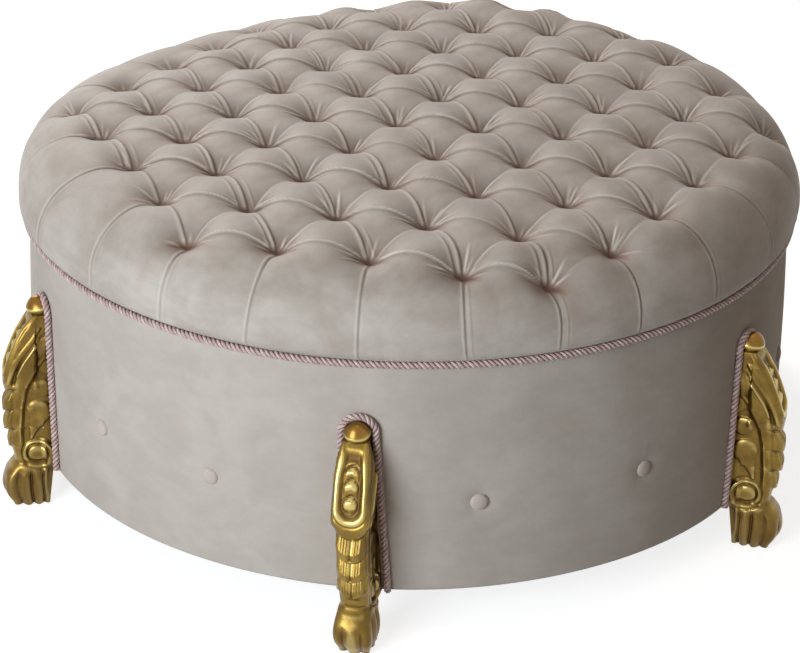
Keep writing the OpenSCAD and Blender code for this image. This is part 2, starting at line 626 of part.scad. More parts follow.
// Bun-shaped knob on the leg's neck
NECK_SHARE = stem_level_shares[len(stem_level_shares) - 1][0];
knob_z = NECK_SHARE * leg_h - carving_d / 3;
knob_h = leg_h - knob_z;
knob_shares = [
    [0, 0], [0.6, 0], [0.9, 0.12], [1, 0.3], [0.95, 0.55], [0.72, 0.82], [0.36, 0.97], [0, 1]];
module knob() translate([wall_r + knob_d * 0.44, 0, knob_z]) rotate_extrude($fn = SMALL)
    polygon([for (s = knob_shares) [s[0] * knob_d / 2, s[1] * knob_h]]);

// Puts children in the cartouche's leaning frame: +X out of its face, +Z up along it
module on_cartouche() translate([wall_r + cartouche_foot[0], 0, cartouche_foot[1]])
    rotate([0, -cartouche_lean, 0]) children();

module cartouche_recess() on_cartouche() translate([-carving_d, 0, 0]) rotate([90, 0, 90])
    linear_extrude(4 * carving_d) {
        translate([0, recess_w / 2]) circle(d = recess_w, $fn = SMALL);
        translate([-recess_w / 2, recess_w / 2]) square([recess_w, cartouche_len - recess_w]);
        translate([0, cartouche_len - recess_w / 2]) circle(d = recess_w, $fn = SMALL);
    }

module cartouche_rim() on_cartouche() translate([-rim_r, 0, recess_w / 2]) {
    for (s = [-1, 1]) translate([0, s * recess_w / 2, 0])
        cylinder(h = cartouche_len - recess_w, r = rim_r, $fn = SMALL);
    rotate([0, 90, 0]) rotate([0, 0, -90]) rotate_extrude(angle = 180, $fn = SMALL)
        translate([recess_w / 2, 0]) circle(r = rim_r, $fn = SMALL);
}

module husks() on_cartouche() for (s = husk_shares)
    translate([-carving_d, 0, s * cartouche_len + recess_w / 8]) sphere(r = recess_w / 3, $fn = SMALL);

// One side's scroll: a long arc down the front edge, a volute with its boss, and three leaves
module side_carving() {
    side_y = leg_w / 2 - carving_d / 6;
    translate([wall_r + scroll_mid[0], side_y, scroll_mid[1]]) rotate([90, 0, 0])
        rotate([0, 0, scroll_arc[0]]) rotate_extrude(angle = scroll_arc[1] - scroll_arc[0])
            translate([scroll_r, 0]) circle(r = rim_r, $fn = SMALL);
    translate([wall_r + volute_mid[0], 0.88 * leg_w / 2, volute_mid[1]]) rotate([90, 0, 0]) {
        rotate_extrude($fn = ROUND) translate([volute_d / 2 - rim_r, 0])
            circle(r = rim_r, $fn = SMALL);
        sphere(r = volute_d / 5, $fn = SMALL);
    }
    for (i = [0:len(leaf_shares) - 1]) {
        c = on_leg(leaf_shares[i]);
        size = leaf_size_shares[i] * leg_reach;
        translate([wall_r + c[0], side_y - carving_d, c[1]]) rotate([90, 0, 0]) mirror([0, 0, 1])
            linear_extrude(carving_d * 1.3) leaf(size);
    }
}

// Leaf outline: a drop, round at the top, with its tail towards the volute
module leaf(size) polygon([for (a = [0:20:340])
    [size / 2 * sin(a) * pow(sin(a / 2), 0.5), -size * 0.75 * cos(a)]]);

// Grooves between the ribs of the shell foot, from the sole up to the waist
flute_mid = 0.42 * leg_reach;
function flute_end(turn, reach_share, w, z) = [
    wall_r + flute_mid + (reach_share * leg_reach - flute_mid) * cos(turn), w / 2 * sin(turn), z];
module foot_flutes() for (t = flute_turns) rod(
    flute_end(t, 0.96, foot_w, -overrun),
    flute_end(t, 0.86, leg_w, foot_level_shares[4][0] * leg_h),
    0.75 * carving_d, 0.3 * carving_d);

module leg(i) color("goldenrod") at_turn(leg_turns[i]) {
    difference() {
        union() {
            leg_body();
            knob();
            cartouche_rim();
            side_carving();
            mirror([0, 1, 0]) side_carving();
        }
        cartouche_recess();
        foot_flutes();
        translate([0, 0, wall_bottom - seat_gap])
            cylinder(h = wall_h, r1 = wall_r + wall_flare + seat_gap, r2 = wall_r + seat_gap);
        for (z = bolt_heights) radial(wall_r, bolt_end_x + seat_gap, z, insert_r + hole_gap);
    }
    husks();
}

module leg_inserts() color("gold") for (t = leg_turns, z = bolt_heights) at_turn(t) difference() {
    radial(wall_at(z) + 2 * seat_gap, bolt_end_x, z, insert_r);
    radial(wall_r - overrun, bolt_end_x + overrun, z, bolt_d / 2 + hole_gap / 3);
}

module leg_bolts() color("silver") for (t = leg_turns, z = bolt_heights) at_turn(t) {
    head_x = leg_post_x - post_t - bolt_washer_t;
    radial(head_x, bolt_end_x, z, bolt_d / 2);
    translate([head_x - bolt_head_h, 0, z]) rotate([0, 90, 0])
        cylinder(h = bolt_head_h, r = bolt_head_r, $fn = 6);
}

module leg_washers() color("silver") for (t = leg_turns, z = bolt_heights) at_turn(t) difference() {
    washer_x = leg_post_x - post_t;
    radial(washer_x - bolt_washer_t, washer_x, z, bolt_d);
    radial(washer_x - 2 * bolt_washer_t, washer_x + overrun, z, bolt_d / 2 + hole_gap);
}

module foot_glides() color("black") for (t = leg_turns) at_turn(t)
    translate([wall_r + 0.58 * leg_reach, 0, 0]) cylinder(h = glide_h, r = glide_d / 2, $fn = SMALL);

seat_cover();
seat_foam();
tuft_buttons();
tuft_twines();
tuft_washers();
seat_deck();
deck_screws();
seat_cord();
top_ring();
top_ring_screws();
bottom_ring();
bottom_ring_screws();
wall_panel();
wall_padding();
wall_cover();
dust_cover();
side_buttons();
side_button_washers();
leg_bolts();
leg_washers();
leg_inserts();
foot_glides();
for (i = [1:leg_count]) {
    leg_post(i - 1);
    bay_post(i - 1);
    leg(i - 1);
    leg_cord(i - 1);
}
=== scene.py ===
"""Round deep-buttoned stool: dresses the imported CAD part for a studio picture.

A velvet seat with 70 sewn tufts, a padded velvet drum, rope trims, covered buttons and six
carved gilt legs. Lengths are written in millimetres and divided by MM when they reach a mesh.
The lamps and the camera are set in metres.
"""
import json
import math

import bpy
import numpy as np
from mathutils import Matrix, Vector


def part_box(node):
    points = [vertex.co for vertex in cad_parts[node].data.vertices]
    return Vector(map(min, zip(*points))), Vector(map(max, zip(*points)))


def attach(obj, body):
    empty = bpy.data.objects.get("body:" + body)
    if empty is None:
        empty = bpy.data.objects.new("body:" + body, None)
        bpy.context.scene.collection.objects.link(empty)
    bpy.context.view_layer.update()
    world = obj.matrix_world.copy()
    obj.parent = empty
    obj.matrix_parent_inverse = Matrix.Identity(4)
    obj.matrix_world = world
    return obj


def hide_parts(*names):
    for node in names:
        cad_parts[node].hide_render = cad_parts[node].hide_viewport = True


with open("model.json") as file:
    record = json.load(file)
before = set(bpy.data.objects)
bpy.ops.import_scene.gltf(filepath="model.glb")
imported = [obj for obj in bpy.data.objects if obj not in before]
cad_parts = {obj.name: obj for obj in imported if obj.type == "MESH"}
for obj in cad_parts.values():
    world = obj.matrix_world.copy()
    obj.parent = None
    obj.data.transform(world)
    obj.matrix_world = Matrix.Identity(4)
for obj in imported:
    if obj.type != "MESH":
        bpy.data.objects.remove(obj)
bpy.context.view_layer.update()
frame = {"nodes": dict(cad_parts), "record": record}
rng = np.random.default_rng(7)
MM = 1000.0

# Sizes, as in the part's source
WALL_R, WALL_FLARE, WALL_BOTTOM, WALL_TOP = 480.0, 12.0, 57.0, 339.0
WALL_H = WALL_TOP - WALL_BOTTOM
VELVET = 1.5
HEM_R = 446.0
SEAT_R, SHOULDER_W, SEAT_H, CROWN_RISE, BELLY_H = 492.5, 106.0, 119.0, 10.0, 22.0
SHOULDER_R = SEAT_R - SHOULDER_W
SHOULDER_RISE = SEAT_H - CROWN_RISE - BELLY_H
SHOULDER_POWER = 2.25
SEAT_FOOT_R, CREASE_H = 481.5, 8.6
TUFT_PITCH, TUFT_ROW_PITCH, TUFT_DEPTH = 103.0, 92.0, 22.5
TUFT_REACH = 457.7
# Each row of tufts from the front: the first one's place in half pitches, and how many there are
TUFT_ROWS = [(0, 5), (-1, 6), (-2, 7), (-3, 8), (-4, 9), (-3, 9), (-2, 8), (-1, 7), (0, 6), (1, 5)]
# How far some rows are shifted sideways, in pitches
ROW_SHIFTS = [[0, -0.1], [1, -0.02], [2, 0.01], [6, 0], [7, -0.04], [8, -0.09], [9, -0.03]]
CORD_D = 8.0
SEAT_CORD_R, SEAT_CORD_Z = 485.8, 343.3
BUTTON_TURNS = [16, 40.5, 82, 101, 140, 160, 200, 220, 262, 281, 318.5, 339]
BUTTON_Z, BUTTON_D = 168.0, 21.0
LEG_TURNS = [0, 62, 121, 180, 242, 301]
LEG_H, LEG_REACH, LEG_W, FOOT_W, FOOT_INSET, KNOB_D = 274.0, 77.0, 39.0, 49.0, 20.0, 30.0
GLIDE_H = 3.0
# How each leg is set: degrees that its face is turned, how far its foot stands aside,
# how much higher its carving sits, and how far its rope spreads at the bottom, left and right
ROPE_ASIDE = 28
LEG_SETTING = [(-6.0, 8.0, 0.0, 26, 29), (18.0, -11.0, 5.0, 28, 34), (0.0, 0.0, 3.0, ROPE_ASIDE, ROPE_ASIDE),
               (0.0, 0.0, 0.0, ROPE_ASIDE, ROPE_ASIDE), (0.0, 0.0, 2.0, ROPE_ASIDE, ROPE_ASIDE),
               (-15.0, 9.5, 5.0, 32, 31)]
LOOP_R = (KNOB_D + CORD_D) / 2 + 0.6
LOOP_Z = LEG_H + 0.6 + CORD_D / 2 - LOOP_R
# Height at which a leg's lean starts
LEAN_Z = 255.0


def wall_at(z):
    """Outer radius of the wall at height z: it spreads evenly towards its bottom edge."""
    return WALL_R + WALL_FLARE * (WALL_TOP - z) / WALL_H


def smooth(x, low, high):
    """0 below low, 1 above high, and an even S between them."""
    t = np.clip((np.asarray(x, float) - low) / (high - low), 0, 1)
    return t * t * (3 - 2 * t)


def bump(x, width):
    """A soft ridge, 1 at x = 0 and near 0 past two widths."""
    return np.exp(-(x / width) ** 2)


def fall(x, length):
    """1 up to x = 0, then dying away over that length."""
    return np.exp(-np.clip(x, 0, None) / length)


def rounded(u, power=2.0):
    """Height of a rounded ridge, 1 in its middle and 0 at u = 1."""
    return np.sqrt(np.clip(1 - np.abs(u) ** power, 0, 1))


def wrapped(angle):
    """The same angle between half a turn to the right and half a turn to the left."""
    return np.angle(np.exp(1j * angle))


def circle(count):
    """That many angles, evenly spaced round a full turn."""
    return np.linspace(0, math.tau, count, endpoint=False)


def turned(x, y, angle):
    """(x, y) turned to the left by an angle."""
    c, s = math.cos(angle), math.sin(angle)
    return x * c - y * s, x * s + y * c


def unit(vectors):
    """Rows of vectors at length 1."""
    return vectors / np.linalg.norm(vectors, axis=1, keepdims=True)


def plateau(x, start, full, fading, end):
    """0 up to start, 1 from full to fading and 0 again from end on, with even S's between."""
    return smooth(x, start, full) * (1 - smooth(x, fading, end))


# Meshes
def make_mesh(name, points, faces, attributes=None, uv=None):
    """An object at the origin from points in millimetres and an array of faces, each row three
    or four corners. attributes are one value a point, uv one pair a point."""
    mesh = bpy.data.meshes.new(name)
    faces = [np.asarray(f, np.int32) for f in faces if len(f)]
    corners = np.concatenate([f.ravel() for f in faces])
    counts = np.concatenate([np.full(len(f), f.shape[1]) for f in faces])
    starts = np.concatenate([[0], np.cumsum(counts)[:-1]])
    mesh.vertices.add(len(points))
    mesh.vertices.foreach_set("co", (np.asarray(points, np.float32) / MM).ravel())
    mesh.loops.add(len(corners))
    mesh.loops.foreach_set("vertex_index", corners)
    mesh.polygons.add(len(counts))
    mesh.polygons.foreach_set("loop_start", starts.astype(np.int32))
    mesh.update(calc_edges=True)
    for key, values in (attributes or {}).items():
        layer = mesh.attributes.new(key, "FLOAT", "POINT")
        layer.data.foreach_set("value", np.asarray(values, np.float32).ravel())
    if uv is not None:
        layer = mesh.uv_layers.new(name="surface")
        layer.data.foreach_set("uv", np.asarray(uv, np.float32)[corners].ravel())
    mesh.polygons.foreach_set("use_smooth", np.full(len(counts), True))
    mesh.validate()
    piece = bpy.data.objects.new(name, mesh)
    bpy.context.scene.collection.objects.link(piece)
    return piece


def grid_faces(rows, cols, closed_rows=False, closed_cols=False, first=0):
    """Quads of a grid whose points are numbered row by row, facing the side from which a walk
    along a row has the next row on its left."""
    j = np.arange(rows if closed_rows else rows - 1)[:, None]
    i = np.arange(cols if closed_cols else cols - 1)[None, :]
    j2, i2 = (j + 1) % rows, (i + 1) % cols
    quads = np.stack([j * cols + i, j * cols + i2, j2 * cols + i2, j2 * cols + i], -1)
    return quads.reshape(-1, 4) + first


def fan(loop, hub):
    """Triangles from a closed loop of point numbers to a hub point."""
    loop = np.asarray(loop)
    return np.stack([loop, np.roll(loop, -1), np.full(len(loop), hub)], 1)


def blur(field, passes, size):
    """Repeated running mean of a grid along both directions."""
    for _ in range(passes):
        for axis in (0, 1):
            pad = [(size, size) if a == axis else (0, 0) for a in (0, 1)]
            total = np.cumsum(np.pad(field, pad, mode="edge"), axis=axis)
            high = np.take(total, np.arange(2 * size, total.shape[axis]), axis=axis)
            low = np.take(total, np.arange(0, total.shape[axis] - 2 * size), axis=axis)
            field = (high - low) / (2 * size)
    return field


def to_place(points, turn):
    """Turns points drawn towards +X, counted from the drum's axis, to their place round it."""
    x, y = turned(points[..., 0], points[..., 1], math.radians(turn - 90))
    return np.stack([x, y, points[..., 2]], -1)


# Materials
class Wire:
    """A socket that gives a value. Arithmetic on it adds Math nodes to its tree."""

    def __init__(self, nodes, socket):
        self.nodes, self.socket = nodes, socket

    def _math(self, operation, a, b=0.0):
        return self.nodes.add("ShaderNodeMath", {"operation": operation}, {0: a, 1: b})

    def __add__(self, other):
        return self._math("ADD", self, other)

    def __sub__(self, other):
        return self._math("SUBTRACT", self, other)

    def __rsub__(self, other):
        return self._math("SUBTRACT", other, self)

    def __mul__(self, other):
        return self._math("MULTIPLY", self, other)

    __radd__, __rmul__ = __add__, __mul__

    def least(self, other):
        """The smaller of two values."""
        return self._math("MINIMUM", self, other)

    def most(self, other):
        """The larger of two values."""
        return self._math("MAXIMUM", self, other)

    def sine(self):
        return self._math("SINE", self)

    def ramp(self, low, high):
        """0 below low, 1 above high, an even S between them."""
        return self.nodes.add("ShaderNodeMapRange", {"interpolation_type": "SMOOTHSTEP"},
                              {"Value": self, "From Min": low, "From Max": high})


class Nodes:
    """A node tree under construction."""

    def __init__(self, tree):
        self.tree = tree

    def connect(self, socket, value):
        """A link to the socket from a Wire, or any other value set on it."""
        if isinstance(value, Wire):
            self.tree.links.new(value.socket, socket)
        else:
            socket.default_value = value

    def add(self, kind, settings=None, inputs=None, output=0):
        """A node of that kind: its settings first, then the values or links of its sockets."""
        node = self.tree.nodes.new(kind)
        for key, value in (settings or {}).items():
            setattr(node, key, value)
        for key, value in (inputs or {}).items():
            self.connect(node.inputs[key], value)
        return Wire(self, node.outputs[output])


class Finish(Nodes):
    """A material under construction: a Principled shader and the nodes that feed it."""

    def __init__(self, name, **shader):
        self.name, self.material = name, bpy.data.materials.new(name)
        self.material.use_nodes = True
        super().__init__(self.material.node_tree)
        self.shader = next(n for n in self.tree.nodes if n.type == "BSDF_PRINCIPLED")
        self.feed(**shader)

    def feed(self, **shader):
        """Sets or links sockets of the Principled shader, named in lower case."""
        for key, value in shader.items():
            name = key.replace("_", " ").title().replace("Ior", "IOR")
            self.connect(self.shader.inputs[name], value)

    def place(self):
        """Object coordinates, in metres."""
        return self.add("ShaderNodeTexCoord", output="Object")

    def stretched(self, scale, turn=(0, 0, 0)):
        """Object coordinates, scaled and turned."""
        return self.add("ShaderNodeMapping",
                        inputs={"Vector": self.place(), "Scale": scale, "Rotation": turn})

    def split(self, vector, axis):
        """One part of a vector: 0, 1 or 2 for x, y or z."""
        return self.add("ShaderNodeSeparateXYZ", inputs={0: vector}, output=axis)

    def noise(self, size, detail=3.0, rough=0.55, vector=None, distortion=0.0):
        """Noise whose patches are about size millimetres across."""
        return self.add("ShaderNodeTexNoise", inputs={
            "Vector": vector or self.place(), "Scale": MM / size, "Detail": detail,
            "Roughness": rough, "Distortion": distortion})

    def attribute(self, name):
        """A value that the mesh carries at its points."""
        return self.add("ShaderNodeAttribute", {"attribute_name": name}, output="Fac")

    def blend(self, factor, a, b):
        """Colour a where factor is 0 and b where it is 1."""
        a, b = (c if isinstance(c, Wire) else (*rgb(*c), 1.0) for c in (a, b))
        return self.add("ShaderNodeMix", {"data_type": "RGBA"}, {"Factor": factor, 6: a, 7: b}, output=2)

    def tinted(self, base, *layers):
        """A colour under layers, each a factor and the colour it leads to."""
        for factor, colour in layers:
            base = self.blend(factor, base, colour)
        return base

    def raise_surface(self, height, distance, strength):
        """Bump from a height, its full relief distance millimetres deep."""
        self.feed(normal=self.add("ShaderNodeBump", inputs={
            "Height": height, "Distance": distance / MM, "Strength": strength}))


def rgb(r, g, b):
    """Linear colour from an sRGB one in 0 to 255."""
    c = np.array([r, g, b]) / 255
    return tuple(float(v) for v in np.where(c <= 0.04045, c / 12.92, ((c + 0.055) / 1.055) ** 2.4))


# The masks of the seat's folds, how strongly each colours the velvet, and with what: painted shade for deep,
# shade, hollow, groove and pit, and a painted highlight for lip
PAINTED_FOLD_SHADING = [("deep", 0.52, (124, 99, 82)), ("shade", 0.54, (116, 100, 87)), ("hollow", 0.44, (148, 116, 96)),
         ("lip", 0.70, (240, 231, 221)), ("groove", 0.62, (98, 76, 62)), ("pit", 0.86, (92, 56, 42))]


def velvet(name, colour, light, shade, painted_fold_shading=()):
    """Velvet: brushed patches of nap, a fine pile, and on the seat the masks of its folds, which
    paint light and shade into its colour: painted shade that deepens with the quilting and beside
    the folds, warm painted shade round the tufts, painted highlights on the lips, brown painted
    shade in the creases, and a red-brown painted shade in the mouths of the tufts."""
    f = Finish(name, sheen_weight=0.40, sheen_roughness=0.38, sheen_tint=(*rgb(232, 230, 230), 1.0),
               specular_ior_level=0.26 if painted_fold_shading else 0.18)
    nap = f.noise(95, detail=4.0, rough=0.6, distortion=0.7)
    brushed = f.noise(30, detail=5.0, rough=0.62, vector=f.stretched((1.0, 0.5, 1.8), (0.3, 0.2, 0.6)))
    tone = (nap * 0.6 + brushed * 0.4).ramp(0.34, 0.68)
    # The fold masks paint shade and highlights over the nap's colour
    base = f.tinted(f.blend(0.45, f.blend(tone, shade, light), colour),
                    *((f.attribute(mask) * amount, tint) for mask, amount, tint in painted_fold_shading))
    f.feed(base_color=base, roughness=(0.50 if painted_fold_shading else 0.70) + brushed * 0.2)
    f.raise_surface(f.noise(0.9, detail=2.0) * 0.35 + f.noise(6, detail=3.0) * 0.65, 0.45, 0.55)
    return f


def rope_finish(name):
    """Twisted trim: dusty pink strands, one of them paler, mauve-brown painted shade between them,
    and fine shining yarn that runs along each."""
    f = Finish(name, roughness=0.42, sheen_weight=0.35, sheen_roughness=0.35, specular_ior_level=0.55)
    base = f.blend(f.attribute("tone").ramp(0.35, 0.75), (190, 156, 154), (218, 192, 186))
    # The groove mask paints mauve-brown shade between the strands
    f.feed(base_color=f.tinted(
        base, (f.attribute("groove").ramp(0.12, 0.85) * 0.92, (70, 46, 48)),
        (f.noise(5, detail=2.0).ramp(0.3, 0.8) * 0.25, (236, 220, 212))))
    surface = f.add("ShaderNodeUVMap", {"uv_map": "surface"})
    yarn = (f.split(surface, 0) * (9 * math.tau) + f.split(surface, 1) * (math.tau / 1.2)).sine()
    f.raise_surface(yarn * 0.5 + 0.5, 0.35, 0.7)
    return f


def gilt_finish(name):
    """Gold paint on carved wood: antique gold with painted highlights on the raised edges, painted
    brown shade in the recesses and on the sides, darker down at the foot, and an orange-brown cap
    on the knob."""
    f = Finish(name, metallic=0.9, coat_weight=0.15, coat_roughness=0.2, specular_ior_level=0.5)
    patch = f.noise(26, detail=4.0, rough=0.6)
    grain = f.noise(2.6, detail=3.0)
    cavity = f.attribute("cavity")
    # Darker towards the bottom
    foot = 1.0 - f.split(f.place(), 2).ramp(0.015, 0.085)
    base = f.blend(patch.ramp(0.32, 0.7), (116, 92, 36), (150, 122, 54))
    # Painted highlights on raised edges, painted brown shade in recesses and on the side faces
    f.feed(base_color=f.tinted(
        base, (f.attribute("edge").ramp(0.08, 0.7) * 0.62, (226, 204, 130)),
        (cavity.ramp(0.08, 0.9) * 0.76, (74, 49, 16)),
        (f.attribute("cap") * 0.42, (140, 84, 28)),
        ((foot * 0.45 + f.attribute("side_shade") * 0.50).least(0.66), (84, 60, 24)),
        (grain.ramp(0.55, 0.8) * 0.16, (88, 66, 24))), roughness=0.24 + patch * 0.16 + cavity * 0.25)
    f.raise_surface(grain * 0.6 + patch * 0.4, 0.45, 0.5)
    return f


def plain_finish(name, colour, dark, size, **shader):
    """A hidden piece's finish: its colour varied by patches of about size millimetres."""
    f = Finish(name, **shader)
    patch = f.noise(size, detail=4.0, rough=0.6)
    f.feed(base_color=f.blend(patch.ramp(0.3, 0.7), dark, colour))
    f.raise_surface(patch, 0.3, 0.4)
    return f


def grained_finish(name, colour, dark):
    """Plywood or softwood: long streaks of grain along X."""
    f = Finish(name, roughness=0.6)
    streaks = f.noise(4, detail=5.0, vector=f.stretched((0.08, 1.0, 1.0)))
    f.feed(base_color=f.blend(streaks.ramp(0.3, 0.72), dark, colour))
    f.raise_surface(streaks, 0.2, 0.4)
    return f


FINISHES = {f.name: f.material for f in (
    velvet("seat_velvet", (184, 174, 165), (204, 197, 190), (160, 148, 138), PAINTED_FOLD_SHADING),
    velvet("wall_velvet", (189, 180, 171), (199, 191, 184), (178, 168, 158)),
    velvet("button_velvet", (196, 182, 174), (206, 194, 186), (182, 166, 156)),
    rope_finish("rope"),
    gilt_finish("gilt"),
    plain_finish("foam", (226, 214, 160), (206, 190, 132), 3, roughness=0.95),
    plain_finish("padding", (232, 230, 222), (208, 205, 196), 6, roughness=0.95),
    grained_finish("plywood", (214, 184, 138), (186, 150, 102)),
    grained_finish("post_wood", (222, 196, 150), (194, 160, 110)),
    grained_finish("panel", (208, 176, 128), (178, 142, 96)),
    plain_finish("dust_cloth", (34, 33, 34), (20, 20, 21), 1.2, roughness=0.9),
    plain_finish("twine", (220, 214, 196), (190, 182, 160), 1, roughness=0.85),
    plain_finish("steel", (184, 186, 190), (150, 153, 158), 2, metallic=1.0, roughness=0.34),
    plain_finish("brass", (212, 170, 96), (170, 128, 62), 2, metallic=1.0, roughness=0.32),
    plain_finish("glide", (44, 40, 38), (28, 26, 25), 2, roughness=0.55))}
for row in frame["record"]["subparts"]:
    node = frame["nodes"][row["node"]]
    node.data.materials.clear()
    node.data.materials.append(FINISHES[row["material_slot"]])


def finish_piece(piece, slot, node):
    """Gives a piece its material and slot, and lets it stand for a CAD node."""
    piece.data.materials.append(FINISHES[slot])
    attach(piece, "root")
    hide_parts(node)
    return piece


# The tufted seat
def tuft_xy(k, r):
    """Place of a tuft k half pitches along row r: rows slope and fan a little, and the outermost
    are drawn in to the deck."""
    u, v = k - 4.5, r - 4.5
    shift = 0.11 + np.interp(r, *np.transpose(ROW_SHIFTS))
    x = (u / 2 + shift) * TUFT_PITCH - v * 0.015 * TUFT_ROW_PITCH
    y = v * (1 + 0.012 * u) * TUFT_ROW_PITCH - u * 0.072 * TUFT_PITCH / 2
    p = np.array(turned(x, y, math.radians(2.8)))
    return p * min(1, TUFT_REACH / np.hypot(*p))


TUFTS = {(k, r): tuft_xy(k, r) for r, (first, count) in enumerate(TUFT_ROWS)
         for k in range(first, first + 2 * count, 2)}


def crown(r):
    """Height of the pillows' tops above the wall's top edge at radius r: a low dome, then a
    quarter of a superellipse over the shoulder."""
    r = np.asarray(r, float)
    dome = SEAT_H - CROWN_RISE * (r / SHOULDER_R) ** 2
    t = np.clip((r - SHOULDER_R) / SHOULDER_W, 0, 1)
    side = BELLY_H + SHOULDER_RISE * (1 - t ** SHOULDER_POWER) ** (1 / SHOULDER_POWER)
    return np.where(r <= SHOULDER_R, dome, side)


def seat_profile():
    """The seat's outline from the middle of its top to its foot, at close steps: length along it,
    radius, height, and its outward normal. It joins the crown, a quarter of an ellipse round the
    belly and a straight foot."""
    top_r = np.linspace(0, SHOULDER_R, 400, endpoint=False)
    shoulder = np.linspace(0, math.pi / 2, 260)
    power = 2 / SHOULDER_POWER
    belly = np.linspace(0, math.pi / 2, 60)[1:]
    foot_z = np.linspace(CREASE_H, 0.3, 12)[1:]
    r = np.concatenate([top_r, SHOULDER_R + SHOULDER_W * np.sin(shoulder) ** power,
                        SEAT_FOOT_R + (SEAT_R - SEAT_FOOT_R) * np.cos(belly), 0 * foot_z + SEAT_FOOT_R])
    z = np.concatenate([crown(top_r), BELLY_H + SHOULDER_RISE * np.cos(shoulder) ** power,
                        BELLY_H - (BELLY_H - CREASE_H) * np.sin(belly), foot_z])
    length = np.concatenate([[0], np.cumsum(np.hypot(np.diff(r), np.diff(z)))])
    even = np.linspace(0, length[-1], 1600)
    r, z = np.interp(even, length, r), np.interp(even, length, z)
    dr, dz = np.gradient([r, z], axis=1)
    size = np.hypot(dr, dz)
    return even, r, z, -dz / size, dr / size


PROFILE_S, *PROFILE = seat_profile()
PROFILE_R = PROFILE[0]
WIDEST = np.argmax(PROFILE_R)
BELLY_S = float(np.interp(SEAT_R, PROFILE_R[:WIDEST], PROFILE_S[:WIDEST]))


def unrolled(p):
    """A place on the seat laid flat: its length from the middle, in its own direction."""
    r = np.hypot(*p)
    return p * (np.interp(r, PROFILE_R[:WIDEST], PROFILE_S[:WIDEST]) / max(r, 1e-6))


